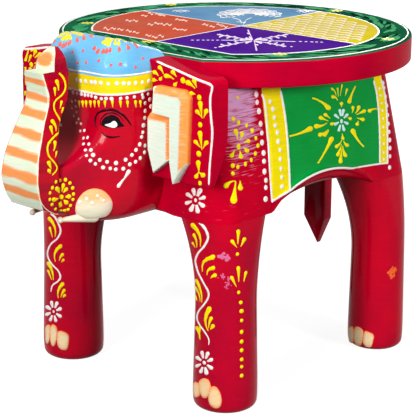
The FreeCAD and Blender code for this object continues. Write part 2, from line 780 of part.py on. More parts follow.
def make_tusk(head):
    back = size.tusk_length - muzzle_reach
    root = V(size.tusk_root_spacing / 2, back, size.tusk_height)
    tip = V(size.tusk_tip_spacing / 2, size.tusk_tip_radius - muzzle_reach, size.tusk_height)
    along = tip - root
    thick = size.tusk_radius
    bead = size.tusk_tip_radius
    waist = V(bead * waist_share, 0, along.Length - bead * math.sqrt(1 - waist_share ** 2))
    turn = math.sqrt(0.5)
    side = V(thick, 0, 0)
    end = V(0, 0, along.Length + bead)
    profile = Part.Wire([
        Part.Arc(V(0, 0, -thick), V(thick * turn, 0, -thick * turn), side).toShape(),
        Part.LineSegment(side, waist).toShape(),
        Part.Arc(waist, V(bead, 0, along.Length), end).toShape(),
        Part.LineSegment(end, V(0, 0, -thick)).toShape()])
    stub = Part.Face(profile).revolve(V(0, 0, 0), Z, 360)
    stub.Placement = FreeCAD.Placement(root, FreeCAD.Rotation(Z, along))
    swelling = Part.makeSphere(size.tusk_root_radius)
    stretch = FreeCAD.Matrix()
    stretch.scale(V(
        size.tusk_root_bulge / size.tusk_root_radius, size.tusk_root_reach / size.tusk_root_radius, 1))
    swelling = swelling.transformGeometry(stretch)
    swelling.rotate(V(0, 0, 0), Z, -swelling_turn)
    swelling.translate(V(root.x, root.y, size.tusk_root_height))
    skull = unplaced(head)
    tusk = swelling.cut(skull).fuse(stub.cut(skull))
    mirrored(finish("tusk_left", tusk), "tusk_right")


# the tail: a flat slab glued to the rump, its lower end cut to a bevelled point
def make_tail():
    body = doc.addObject("PartDesign::Body", "tail")
    profile = new_sketch(body, "YZ_Plane", -size.tail_width / 2)
    top = rump_at(size.tail_top_height)
    back = rump_reach + size.tail_thickness
    outline(profile, [
        (rump_reach + size.tail_thickness / 2, size.tail_tip_height),
        (back, size.tail_tip_height),
        (back, size.joint_height),
        (top + size.tail_thickness, size.tail_top_height),
        (top, size.tail_top_height),
        (rump_reach, size.joint_height),
        (rump_reach, size.tail_tip_height + size.tail_point_length),
    ])
    slab = pad(body, profile, size.tail_width)
    half = size.tail_width / 2
    high = size.tail_top_height - hair
    corners = edges_where(slab.Shape, lambda e, m: m.z > high and abs(m.x) > half - hair)
    dress(body, "Fillet", slab, corners, size.tail_corner_round)
    ends = new_sketch(body, "XZ_Plane", -rump_reach)
    wide = half + size.overrun
    steep = size.tail_point_length / half
    for side in (-1, 1):
        outline(ends, [
            (middle_x, size.tail_tip_height),
            (side * wide, size.tail_tip_height),
            (side * wide, size.tail_tip_height + wide * steep),
        ])
    pocket(body, "tail_point", ends)
    drilled = new_sketch(body, "XZ_Plane", -rump_at(tail_height))
    circle(drilled, middle_x, tail_height, size.tail_dowel_diameter + 2 * size.dowel_clearance)
    pocket(body, "tail_hole", drilled, size.tail_dowel_length / 2 + size.dowel_end_gap)
    place(body)


# dowels: plain round pegs with a small lead at both ends
def make_dowel(name, kind, role, joint, places):
    """One peg for each place on the plane of that role. The joint lies that far
    along the plane's normal, with half of a peg on each side of it."""
    diameter = getattr(size, kind + "_dowel_diameter")
    length = getattr(size, kind + "_dowel_length")
    pegs = []
    for count, (px, py) in enumerate(places, start=1):
        peg = doc.addObject("PartDesign::Body", name if len(places) == 1 else "%s_peg_%d" % (name, count))
        shifted(peg)
        sketch = new_sketch(peg, role, joint - length / 2)
        circle(sketch, px, py, diameter)
        rod = pad(peg, sketch, length)
        ends = edges_where(rod.Shape, lambda edge, middle: edge.Closed)
        dress(peg, "Chamfer", rod, ends, size.dowel_chamfer)
        pegs.append(peg)
    if len(pegs) == 1:
        PIECES.append(pegs[0])
        return
    group = doc.addObject("Part::Compound", name)
    group.Links = pegs
    PIECES.append(group)


def make_dowels():
    for side, sign in (("left", 1), ("right", -1)):
        for end in ("front", "rear"):
            make_dowel("leg_dowel_%s_%s" % (end, side), "leg", "XY_Plane", size.joint_height,
                       [(sign * leg_x, leg_y[end])])
        make_dowel("ear_dowels_" + side, "ear", "XZ_Plane", chord_reach,
                   [(sign * ear_x, z) for z in ear_heights])
    make_dowel("head_dowels", "head", "XZ_Plane", chord_reach, [(middle_x, z) for z in head_heights])
    make_dowel("trunk_dowel", "trunk", "XZ_Plane", muzzle_reach, [(middle_x, trunk_height)])
    make_dowel("tail_dowel", "tail", "XZ_Plane", -rump_at(tail_height), [(middle_x, tail_height)])


# the board's screws, each a turned profile, and the wooden plugs over their heads
def make_fixings():
    head_top = size.seat_height - size.filler_depth - size.plug_length
    under_head = head_top - size.screw_head_height
    radius = size.screw_diameter / 2
    wide = size.screw_head_diameter / 2
    point = under_head - size.screw_length
    corners = [
        (0, point), (radius, point + size.screw_point_length), (radius, under_head), (wide, under_head),
        (wide, under_head + size.screw_head_height / 2), (radius, head_top), (0, head_top), (0, point)]
    profile = Part.makePolygon([V(x, 0, z) for x, z in corners])
    screw = Part.Face(profile).revolve(V(0, 0, 0), Z, 360)
    plug = Part.makeCylinder(size.plug_diameter / 2, size.plug_length, V(0, 0, head_top), Z)
    for name, solid in (("seat_screws", screw), ("seat_plugs", plug)):
        copies = [solid.translated(V(sx * half_screw, sy * half_screw, 0)) for sx, sy in screw_places]
        finish(name, Part.makeCompound(copies))


make_seat()
body_block = make_body()
make_leg("front")
make_leg("rear")
head_block = make_head(body_block)
make_trunk()
make_ear(head_block)
make_fold("ear_fold_outer", outer_fold_shares, size.outer_fold_relief, head_block)
make_fold("ear_fold_inner", inner_fold_shares, size.inner_fold_relief, head_block)
make_tusk(head_block)
make_tail()
make_dowels()
make_fixings()
doc.recompute()

for thing in doc.Objects:
    if "Invalid" in thing.State or "Error" in thing.State:
        raise RuntimeError("failed object: " + thing.Name)
for piece in PIECES:
    if piece.Shape.isNull() or not piece.Shape.isValid() or not piece.Shape.Solids:
        raise RuntimeError("bad shape: " + piece.Name)
    print(piece.Name, len(piece.Shape.Solids), "solids", round(piece.Shape.Volume / 1000, 1), "cm3")

os.makedirs("parts", exist_ok=True)
for piece in PIECES:
    piece.Shape.exportStep("parts/%s.step" % piece.Label)
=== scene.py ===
import math

import bpy
import numpy as np
from mathutils import Matrix, Vector
from mathutils.bvhtree import BVHTree


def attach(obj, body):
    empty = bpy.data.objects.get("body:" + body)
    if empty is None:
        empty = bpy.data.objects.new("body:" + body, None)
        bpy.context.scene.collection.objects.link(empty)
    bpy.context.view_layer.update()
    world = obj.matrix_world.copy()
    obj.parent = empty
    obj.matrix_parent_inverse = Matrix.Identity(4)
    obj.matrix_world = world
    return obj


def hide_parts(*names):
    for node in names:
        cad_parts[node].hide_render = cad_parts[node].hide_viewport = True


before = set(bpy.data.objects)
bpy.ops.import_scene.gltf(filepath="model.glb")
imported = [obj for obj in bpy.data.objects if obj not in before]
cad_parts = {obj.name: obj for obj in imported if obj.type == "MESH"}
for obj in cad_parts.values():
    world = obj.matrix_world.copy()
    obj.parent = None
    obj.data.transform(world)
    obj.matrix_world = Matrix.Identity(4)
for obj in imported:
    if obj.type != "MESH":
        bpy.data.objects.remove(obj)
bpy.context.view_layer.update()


# The view: taken from the stool's front left, a little above the board. Lengths
# in this file are millimetres about the seat's centre, as the maker measures
# them; seat_setback carries them into the stool's own frame.
seat_setback = 52.5
camera_stand = np.array([1032.6, -1173.3, 568.9])
camera_turn = 0.737
camera_dip = 0.2707
camera_roll = 0.0075
pixels_per_tangent = 1732.73
picture_middle = np.array([207.5, 208.0])
picture_side = 416
film_side = 36


def in_metres(points):
    """Points of the seat's centre line, moved by the setback and put in metres."""
    return (np.asarray(points, float) + [0, seat_setback, 0]) / 1000


def view_axes():
    """Right, up and back of the camera. Back is level, turned by camera_turn and
    raised by camera_dip; right is level; both are then rolled about back."""
    level = np.array([math.sin(camera_turn), -math.cos(camera_turn), 0])
    back = level * math.cos(camera_dip) + np.array([0, 0, math.sin(camera_dip)])
    right = np.array([math.cos(camera_turn), math.sin(camera_turn), 0])
    up = np.cross(back, right)
    c, s = math.cos(camera_roll), math.sin(camera_roll)
    return c * right + s * up, c * up - s * right, back


def sight_lines(pixels):
    """Unit directions from the camera through pixels of the photograph: the
    pixel's offset from the middle over the focal length, along right and up."""
    right, up, back = view_axes()
    offset = (np.atleast_2d(pixels) - picture_middle) / pixels_per_tangent
    lines = offset[:, :1] * right - offset[:, 1:] * up - back
    return lines / np.linalg.norm(lines, axis=1, keepdims=True)


camera = bpy.data.objects.new("camera", bpy.data.cameras.new("camera"))
camera.data.sensor_width = film_side
camera.data.lens = pixels_per_tangent * film_side / picture_side
stand = Matrix(np.column_stack(view_axes()).tolist()).to_4x4()
stand.translation = in_metres(camera_stand)
camera.matrix_world = stand
bpy.context.scene.collection.objects.link(camera)
bpy.context.scene.camera = camera


# The paint: glossy household enamel, brushed by hand over putty and mango wood.
# It pools unevenly, so colour, gloss and surface all waver a little, and the
# brush leaves fine streaks.
def link(tree, source, target):
    """Joins one node's output to another's input."""
    tree.links.new(source, target)


def add(tree, kind, inputs=None, **settings):
    """A shader node with its settings and the sockets in inputs, by name."""
    made = tree.nodes.new(kind)
    for key, value in settings.items():
        setattr(made, key, value)
    for key, value in (inputs or {}).items():
        if isinstance(value, bpy.types.NodeSocket):
            link(tree, value, made.inputs[key])
        else:
            made.inputs[key].default_value = value
    return made


def linear(colour):
    """Screen colour in 0 to 255, as the light values that a shader takes."""
    c = np.array(colour, float) / 255
    low = c / 12.92
    high = ((c + 0.055) / 1.055) ** 2.4
    return (*np.where(c <= 0.04045, low, high), 1.0)


def brushed_enamel_group():
    """Colour, roughness and normal of brushed enamel. A broad noise mixes in the
    thin coat's colour, and the mesh's own second_paint share the second colour,
    with an edge that the streaks make ragged. The streaks darken and lift too."""
    tree = bpy.data.node_groups.new("brushed_enamel", "ShaderNodeTree")
    face = tree.interface
    for name, way, kind in (
            ("Paint", "INPUT", "Color"), ("Thin", "INPUT", "Color"), ("Second", "INPUT", "Color"),
            ("Waver", "INPUT", "Float"), ("Gloss", "INPUT", "Float"), ("Ragged", "INPUT", "Float"),
            ("Colour", "OUTPUT", "Color"), ("Roughness", "OUTPUT", "Float"), ("Normal", "OUTPUT", "Vector")):
        face.new_socket(name, in_out=way, socket_type="NodeSocket" + kind)
    given = tree.nodes.new("NodeGroupInput")
    out = tree.nodes.new("NodeGroupOutput")
    where = add(tree, "ShaderNodeTexCoord").outputs["Object"]
    broad = add(tree, "ShaderNodeTexNoise", {"Vector": where, "Scale": 14.0, "Detail": 3.0})
    stretch = add(tree, "ShaderNodeMapping", {"Vector": where, "Scale": (70, 70, 900)})
    streak = add(tree, "ShaderNodeTexNoise", {"Vector": stretch.outputs[0], "Scale": 1.0, "Detail": 2.0})
    grit = add(tree, "ShaderNodeTexNoise", {"Vector": where, "Scale": 1300.0, "Detail": 1.0})
    patch = add(tree, "ShaderNodeMapRange", {
        "Value": broad.outputs["Fac"], "From Min": 0.35, "From Max": 0.75, "To Min": 0.0, "To Max": 1.0})
    amount = add(tree, "ShaderNodeMath", {0: patch.outputs[0], 1: given.outputs["Waver"]},
                 operation="MULTIPLY")
    thinned = add(tree, "ShaderNodeMix", {
        0: amount.outputs[0], 6: given.outputs["Paint"], 7: given.outputs["Thin"]}, data_type="RGBA")
    share = add(tree, "ShaderNodeAttribute", attribute_name="second_paint").outputs["Fac"]
    tear = add(tree, "ShaderNodeMath", {0: streak.outputs["Fac"], 1: -0.5}, operation="ADD")
    torn = add(tree, "ShaderNodeMath", {0: tear.outputs[0], 1: given.outputs["Ragged"], 2: share},
               operation="MULTIPLY_ADD")
    edge = add(tree, "ShaderNodeMapRange", {"Value": torn.outputs[0], "From Min": 0.3, "From Max": 0.7})
    covered = add(tree, "ShaderNodeMix", {
        0: edge.outputs[0], 6: thinned.outputs[2], 7: given.outputs["Second"]}, data_type="RGBA")
    level = add(tree, "ShaderNodeMapRange", {
        "Value": streak.outputs["Fac"], "From Min": 0.2, "From Max": 0.8, "To Min": 0.92, "To Max": 1.08})
    toned = add(tree, "ShaderNodeHueSaturation", {
        "Color": covered.outputs[2], "Value": level.outputs[0], "Hue": 0.5, "Saturation": 1.0, "Fac": 1.0})
    link(tree, toned.outputs[0], out.inputs["Colour"])
    rough = add(tree, "ShaderNodeMapRange", {
        "Value": broad.outputs["Fac"], "From Min": 0.3, "From Max": 0.7, "To Min": -0.05, "To Max": 0.07})
    rougher = add(tree, "ShaderNodeMath", {0: rough.outputs[0], 1: given.outputs["Gloss"]}, operation="ADD")
    link(tree, rougher.outputs[0], out.inputs["Roughness"])
    height = add(tree, "ShaderNodeMath", {0: streak.outputs["Fac"], 1: grit.outputs["Fac"]}, operation="ADD")
    swell = add(tree, "ShaderNodeMath", {0: broad.outputs["Fac"], 1: 1.5, 2: height.outputs[0]},
                operation="MULTIPLY_ADD")
    bump = add(tree, "ShaderNodeBump", {"Height": swell.outputs[0], "Strength": 0.35, "Distance": 0.0001})
    link(tree, bump.outputs[0], out.inputs["Normal"])
    return tree


brushed_enamel = brushed_enamel_group()


def enamel(name, paint, thin=None, second=None, waver=0.5, gloss=0.32, ragged=0.5, shine=0.1):
    """An enamel of that colour, with the colour that it thins to and the one that
    the mesh's second_paint share brings in. Its shine is up to five times as strong
    where it's seen at a glancing angle."""
    made = bpy.data.materials.new(name)
    made.use_nodes = True
    tree = made.node_tree
    shader = tree.nodes["Principled BSDF"]
    coatings = add(tree, "ShaderNodeGroup", node_tree=brushed_enamel)
    settings = {"Paint": linear(paint), "Thin": linear(thin or paint), "Second": linear(second or paint),
                "Waver": waver, "Gloss": gloss, "Ragged": ragged}
    for key, value in settings.items():
        coatings.inputs[key].default_value = value
    for source, target in (("Colour", "Base Color"), ("Roughness", "Roughness"), ("Normal", "Normal")):
        link(tree, coatings.outputs[source], shader.inputs[target])
    facing = add(tree, "ShaderNodeLayerWeight", {"Blend": 0.5}).outputs["Facing"]
    glancing = add(tree, "ShaderNodeMapRange", {
        "Value": facing, "From Min": 0.35, "From Max": 0.9, "To Min": shine, "To Max": min(5 * shine, 0.5)})
    link(tree, glancing.outputs[0], shader.inputs["Coat Weight"])
    shader.inputs["Specular IOR Level"].default_value = 0.0
    shader.inputs["Coat Roughness"].default_value = 0.12
    return made


crimson = enamel("crimson_enamel", (202, 0, 36), (156, 0, 42), waver=0.8)
satin_crimson = enamel("satin_crimson_enamel", (200, 0, 40), (150, 0, 42), waver=0.8, shine=0.03)
# its second colour, a pale mauve, is a painted reflection on the left flank's front
crimson_with_painted_sheen = enamel("crimson_painted_sheen_enamel", (202, 0, 36), (156, 0, 42), (222, 160, 204), waver=0.8,
                        ragged=1.5, shine=0.04)
white = enamel("white_enamel", (250, 246, 244), (240, 234, 232))
cream = enamel("cream_enamel", (246, 240, 214), (238, 222, 190))
yellow = enamel("yellow_enamel", (254, 236, 8), (250, 210, 6))


# The legs: columns turned and carved from mango wood, nearly round, swelling at
# the top to a squarer seat on the body. Each is doweled and glued to the body,
# and the joint is filled and painted over.
leg_joint_height = 170
flare_height = 78
foot_height = 14
waist_height = 108
foot_edge = 6
foot_tuck = 0.8
leg_shapes = {
    # centre y, foot radius, waist radius, top low y, top high y
    "front": (-116.3, 28, 26.2, -147, -81),
    "rear": (99.6, 26, 24.8, 61, 121),
}
leg_centre_x = 95.6
leg_top_x = (62, 117)
leg_roundness = 0.98
outer_round = 24
inner_round = 15

# every finished piece by name, for the sight lines to meet and the marks to lie on
carriers = {}


def smooth_through(knots, values, at):
    """Cubic curve through the rows of values at the knots: its slope at a knot is
    the weighted mean of the slopes on both sides, or flat at a turning point."""
    knots, values, at = (np.asarray(v, float) for v in (knots, values, at))
    steps = np.diff(knots)
    rises = np.diff(values, axis=0) / steps[:, None]
    slopes = np.zeros_like(values)
    slopes[0], slopes[-1] = rises[0], rises[-1]
    before, after = rises[:-1], rises[1:]
    same_way = before * after > 0
    w1, w2 = 2 * steps[1:, None] + steps[:-1, None], steps[1:, None] + 2 * steps[:-1, None]
    safe_before, safe_after = np.where(same_way, before, 1), np.where(same_way, after, 1)
    slopes[1:-1] = np.where(same_way, (w1 + w2) / (w1 / safe_before + w2 / safe_after), 0)
    i = np.clip(np.searchsorted(knots, at, side="right") - 1, 0, len(knots) - 2)
    s = ((at - knots[i]) / steps[i])[:, None]
    h = steps[i][:, None]
    return ((1 + 2 * s) * (1 - s) ** 2 * values[i] + s * (1 - s) ** 2 * h * slopes[i]
            + s * s * (3 - 2 * s) * values[i + 1] + s * s * (s - 1) * h * slopes[i + 1])


def rounded_rings(low_x, high_x, low_y, high_y, rounds, arc=10, straight=6):
    """Level rings, one for each entry of the arrays: a rectangle whose corners
    are quarter circles of the four radii, counter-clockwise from the corner of
    high x and low y."""
    turns = np.linspace(0, math.pi / 2, arc + 1)
    corners = [(high_x, low_y, -1, 1), (high_x, high_y, -1, -1), (low_x, high_y, 1, -1), (low_x, low_y, 1, 1)]
    arcs = []
    for k, ((cx, cy, sx, sy), r) in enumerate(zip(corners, rounds)):
        angle = turns + (k - 1) * math.pi / 2
        arcs.append(np.stack([(cx + sx * r)[:, None] + r[:, None] * np.cos(angle),
                              (cy + sy * r)[:, None] + r[:, None] * np.sin(angle)], axis=-1))
    share = np.linspace(0, 1, straight + 1)[1:-1, None]
    parts = []
    for k in range(4):
        start, end = arcs[k][:, -1:], arcs[(k + 1) % 4][:, :1]
        parts += [arcs[k], start + (end - start) * share]
    return np.concatenate(parts, axis=1)


def at_heights(rings, heights):
    """Rings of level points, lifted to heights: one for each ring, or each point."""
    heights = np.broadcast_to(np.asarray(heights, float).reshape(len(rings), -1), rings.shape[:2])
    return np.concatenate([rings, heights[..., None]], axis=-1)


def skin(rows, flat_ends=False):
    """Points and faces of a closed surface. Each row is a ring, counter-clockwise
    as seen from the last row. A fan closes the first and the last, or where the
    ends are flat and may be hollow in outline, one face each."""
    count, around = rows.shape[:2]
    points = np.concatenate([rows.reshape(-1, 3), rows[[0, -1]].mean(axis=1)])
    here = np.arange(around)
    there = np.roll(here, -1)
    low = (np.arange(count - 1) * around)[:, None]
    quads = np.stack([low + here, low + there, low + around + there, low + around + here], axis=-1)
    last = (count - 1) * around
    if flat_ends:
        return points[:-2], quads.reshape(-1, 4).tolist() + [here[::-1].tolist(), (last + here).tolist()]
    first_fan = np.stack([np.full(around, count * around), there, here], axis=-1)
    last_fan = np.stack([np.full(around, count * around + 1), last + here, last + there], axis=-1)
    return points, quads.reshape(-1, 4).tolist() + first_fan.tolist() + last_fan.tolist()


def mirrored(rows):
    """The same rings on the other side of the stool, still counter-clockwise."""
    return (rows * [-1, 1, 1])[:, ::-1]


def place_piece(name, points, faces, paints, replaced=(), crease=35, numbers=None):
    """A painted piece from points and faces, standing for the named nodes."""
    mesh = bpy.data.meshes.new(name)
    mesh.from_pydata(in_metres(points).tolist(), [], faces)
    for paint in paints:
        mesh.materials.append(paint)
    if numbers is not None:
        mesh.polygons.foreach_set("material_index", np.asarray(numbers, np.int32))
    mesh.polygons.foreach_set("use_smooth", np.ones(len(faces), bool))
    mesh.set_sharp_from_angle(angle=math.radians(crease))
    mesh.update()
    piece = bpy.data.objects.new(name, mesh)
    bpy.context.scene.collection.objects.link(piece)
    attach(piece, "root")
    if replaced:
        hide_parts(*replaced)
    carriers[name] = BVHTree.FromPolygons(points.tolist(), faces)
    return piece


def share_second(piece, shares):
    """Gives the piece's points their shares of its paint's second colour."""
    layer = piece.data.attributes.new("second_paint", "FLOAT", "POINT")
    layer.data.foreach_set("value", np.asarray(shares, np.float32))


def with_ends(values):
    """The rings' values, followed by the means of the first and the last ring."""
    return np.concatenate([values.reshape(-1), values[[0, -1]].mean(axis=1)])


def make_piece(name, rows, paints, replaced=(), crease=35, face_paints=None, flat_ends=False,
               second=None):
    """A painted piece from rings. The paints' numbers go by the quads between the
    rings; the second colour's shares go by the rings' points."""
    points, faces = skin(rows, flat_ends)
    numbers = None
    if face_paints is not None:
        ends = [face_paints[0, :1], face_paints[-1, :1]] if flat_ends else [face_paints[0], face_paints[-1]]
        numbers = np.concatenate([face_paints.reshape(-1)] + ends)
    piece = place_piece(name, points, faces, paints, replaced, crease, numbers)
    if second is not None:
        share_second(piece, with_ends(second)[:len(points)])
    return piece


def make_pair(name, rows, paints, replaced=None, crease=35, face_paints=None, flat_ends=False,
              second=None):
    """The piece of the stool's left side, and its mirror image on the right. The
    names hold a gap for the side."""
    shares = (second, None if second is None else second[:, ::-1])
    for side, rings, share in zip(("left", "right"), (rows, mirrored(rows)), shares):
        make_piece(name % side, rings, paints, [replaced % side] if replaced else (), crease,
                   face_paints, flat_ends, share)


def leg_rows(end):
    """Rings of the left leg. The sole's edge is a quarter circle; above it the
    radius follows the foot and the waist; over the flare the ring turns into the
    top's outline by the square of the way up."""
    middle_y, foot, waist, top_low_y, top_high_y = leg_shapes[end]
    turn = np.linspace(0, math.pi / 2, 8)
    heights = np.concatenate([
        foot_edge * (1 - np.cos(turn)), np.linspace(foot_edge, leg_joint_height, 70)[1:]])
    levels = [0, foot_height, (foot_height + waist_height) / 2, waist_height, leg_joint_height]
    radii = [[foot - foot_tuck], [foot], [(foot + waist) / 2], [waist], [waist]]
    radius = smooth_through(levels, radii, heights)[:, 0]
    radius[:len(turn)] -= foot_edge * (1 - np.sin(turn))
    swell = np.clip((heights - leg_joint_height + flare_height) / flare_height, 0, 1) ** 2
    low_x = (1 - swell) * (leg_centre_x - radius) + swell * leg_top_x[0]
    high_x = (1 - swell) * (leg_centre_x + radius) + swell * leg_top_x[1]
    low_y = (1 - swell) * (middle_y - radius) + swell * top_low_y
    high_y = (1 - swell) * (middle_y + radius) + swell * top_high_y
    outer_corner = 0 if end == "front" else 1
    rounds = [(1 - swell) * radius * leg_roundness
              + swell * (outer_round if k == outer_corner else inner_round) for k in range(4)]
    return at_heights(rounded_rings(low_x, high_x, low_y, high_y, rounds), heights)


for end in ("front", "rear"):
    make_pair("leg_" + end + "_%s_column", leg_rows(end), [crimson], "leg_" + end + "_%s")

# the painter's hand wavers, the same way each time
hand = np.random.default_rng(5)
middle_clearance = 11
# the nearest and the furthest that the stool is from the camera
stool_distances = (1250, 1950)


def smooth_path(knots, spacing=1.6, closed=False):
    """Points about spacing apart on the curve through the knots: between two
    knots a cubic whose slopes are half the way from the knot before to the next."""
    knots = np.asarray(knots, float)
    if closed:
        chain = np.concatenate([knots[-1:], knots, knots[:2]])
    else:
        chain = np.concatenate([2 * knots[:1] - knots[1:2], knots, 2 * knots[-1:] - knots[-2:-1]])
    parts = []
    for a, b, c, d in zip(chain, chain[1:], chain[2:], chain[3:]):
        steps = max(2, math.ceil(np.linalg.norm(c - b) / spacing))
        t = np.arange(steps)[:, None] / steps
        parts.append((2 * b + (c - a) * t + (2 * a - 5 * b + 4 * c - d) * t ** 2
                      + (3 * b - a - 3 * c + d) * t ** 3) / 2)
    if not closed:
        parts.append(knots[-1:])
    return np.concatenate(parts)


def laid_on(points, *names):
    """The nearest points of the named pieces, and the outward directions there."""
    found = []
    for point in points:
        hits = [carriers[name].find_nearest(Vector(point)) for name in names]
        place, outward, _, _ = min(hits, key=lambda hit: hit[3])
        found.append([*place, *outward])
    found = np.array(found)
    return found[:, :3], found[:, 3:]


def traced(pixels, *names):
    """Where the sight lines of the pixels meet the named pieces. A line that
    passes beside them ends where it comes closest to one."""
    places = []
    for sight in sight_lines(pixels):
        hits = [carriers[name].ray_cast(Vector(camera_stand), Vector(sight))[3] for name in names]
        depth = min((hit for hit in hits if hit is not None), default=None)
        if depth is None:
            tries = camera_stand + np.linspace(*stool_distances, 71)[:, None] * sight
            gaps = [min(carriers[name].find_nearest(Vector(point))[3] for name in names) for point in tries]
            places.append(tries[int(np.argmin(gaps))])
        else:
            places.append(camera_stand + depth * sight)
    return laid_on(places, *names)[0]


def ridge(points, edges, outward, height):
    """Rings of a line of thick paint from its middle, its two edges and the
    outward directions: six points across, domed, the edges sunk in the surface
    that carries it. It's lower where it's thin."""
    right, left = edges
    width = np.linalg.norm(right - left, axis=1)
    rise = height * np.sqrt(width / width.max())
    shares = ((right, 1, -0.4), (right, 0.75, 0.5), (right, 0.28, 1), (left, 0.28, 1), (left, 0.75, 0.5),
              (left, 1, -0.4))
    return np.stack([points + (edge - points) * share + outward * (rise * lift)[:, None]
                     for edge, share, lift in shares], axis=1)


def stroke(pixels, halves, *names, height=0.4):
    """A line of paint along pixels, as wide to each side as halves, in pixels."""
    way = np.gradient(pixels, axis=0)
    way /= np.linalg.norm(way, axis=1, keepdims=True)
    beside = np.column_stack([-way[:, 1], way[:, 0]]) * np.reshape(halves, (-1, 1))
    points, outward = laid_on(traced(pixels, *names), *names)
    outward[1:-1] = outward[:-2] + 2 * outward[1:-1] + outward[2:]
    outward /= np.linalg.norm(outward, axis=1, keepdims=True)
    return ridge(points, (traced(pixels - beside, *names), traced(pixels + beside, *names)), outward, height)


def spread(values, count):
    """The values, or the one value, spread evenly over that many points."""
    at = np.linspace(0, 1, np.size(values))
    return np.interp(np.linspace(0, 1, count), at, np.atleast_1d(values))


def line(knots, widths, *names, height=0.35):
    """A line of paint through pixels. The widths, in pixels, spread along it, and
    the hand that draws it wavers a little."""
    pixels = smooth_path(knots)
    full = spread(widths, len(pixels)) * (1 + 0.07 * hand.standard_normal(len(pixels)))
    full[[0, -1]] *= 0.45
    return stroke(pixels, full / 2, *names, height=height)


def drop(tail, head, half, *names, bend=0.0, height=0.5, point=0.16, power=1.2):
    """A drop of paint: it widens by that power of the way from its pointed tail to
    its round head, and bends sideways by that share of its length."""
    tail, head = np.asarray(tail, float), np.asarray(head, float)
    length = max(np.linalg.norm(head - tail), 0.2)
    way = np.concatenate([[0, 0.25, 0.5, 0.75, 1], 1 + half / length * np.array([0.5, 0.85, 0.99])])
    sideways = np.array([tail[1] - head[1], head[0] - tail[0]])
    bow = (4 * way * (1 - way) * (way < 1))[:, None]
    pixels = tail + (head - tail) * way[:, None] + bend * bow * sideways
    # past the head the halves follow a circle
    round_end = np.array([1] * 5 + [0.866, 0.53, 0.14])
    halves = half * np.where(way > 1, round_end, point + (1 - point) * np.minimum(way, 1) ** power)
    return stroke(pixels, halves, *names, height=height)


def drops(rows, *names, scale=1.0, **look):
    """Drops from rows of tail, head, half width and, where it bends, the bend."""
    return [drop(*row[:2], scale * row[2], *names, bend=row[3] if len(row) > 3 else 0.0, **look)
            for row in rows]


def dots(pixels, radii, *names, height=0.5):
    """Domed dots of paint of that radius, or those radii, none of them quite alike."""
    centres, outward = laid_on(traced(pixels, *names), *names)
    turn = np.linspace(0, 2 * math.pi, 10, endpoint=False)[:, None]
    marks = []
    for centre, out, radius in zip(centres, outward, np.broadcast_to(radii, len(centres))):
        east = np.cross([0, 0, 1], out) if abs(out[2]) < 0.9 else np.array([1.0, 0, 0])
        east /= np.linalg.norm(east)
        north = np.cross(out, east)
        size = radius * hand.uniform(0.88, 1.12)
        ring = size * (np.cos(turn) * east * hand.uniform(0.9, 1.1) + np.sin(turn) * north)
        marks.append(np.stack([centre + ring * r + out * h * height
                               for r, h in ((1, -0.5), (0.96, 0.25), (0.72, 0.8), (0.32, 1))]))
    return marks


def petals(centre, reach, count, half, *names, inner=0.42, turn=0.0, middle=0.0):
    """A flower of drops round a pixel: reach is how far the drops' heads are, in
    pixels to the side and up. A dot of the middle's radius goes in the centre."""
    marks = dots([centre], middle, *names) if middle else []
    for angle in turn + np.arange(count) * 2 * math.pi / count:
        way = np.array([reach[0] * math.cos(angle), -reach[1] * math.sin(angle)])
        marks.append(drop(np.add(centre, way * inner), np.add(centre, way * hand.uniform(0.88, 0.98)),
                          half * hand.uniform(0.9, 1.1), *names, point=0.5))
    return marks


def patch(outline, *names, lift=0.3, spacing=2.0, rings=(0.85, 0.6, 0.3)):
    """Rings of a low cushion of paint or putty inside an outline of pixels."""
    edge = smooth_path(outline, spacing, closed=True)
    after = np.roll(edge, -1, axis=0)
    if (edge[:, 0] * after[:, 1] - after[:, 0] * edge[:, 1]).sum() > 0:
        edge = edge[::-1]
    middle = edge.mean(axis=0)
    rows = []
    for share, rise in [(1, -0.5), (1, 0.3), (0.94, 0.8)] + [(r, 1) for r in rings]:
        points, outward = laid_on(traced(middle + (edge - middle) * share, *names), *names)
        rows.append(points + outward * lift * rise)
    return np.stack(rows)


def brushwork(name, marks, paint, both_sides=True):
    """All those marks as one piece. Where the pattern is on both sides of the stool
    the mirror images of the marks clear of its middle are added."""
    if both_sides:
        marks = marks + [mirrored(rows) for rows in marks if rows[..., 0].mean() > middle_clearance]
    points, faces, first = [], [], 0
    for rows in marks:
        more_points, more_faces = skin(rows)
        points.append(more_points)
        faces += [[first + number for number in face] for face in more_faces]
        first += len(more_points)
    return place_piece(name, np.concatenate(points), faces, [paint], (), 60)


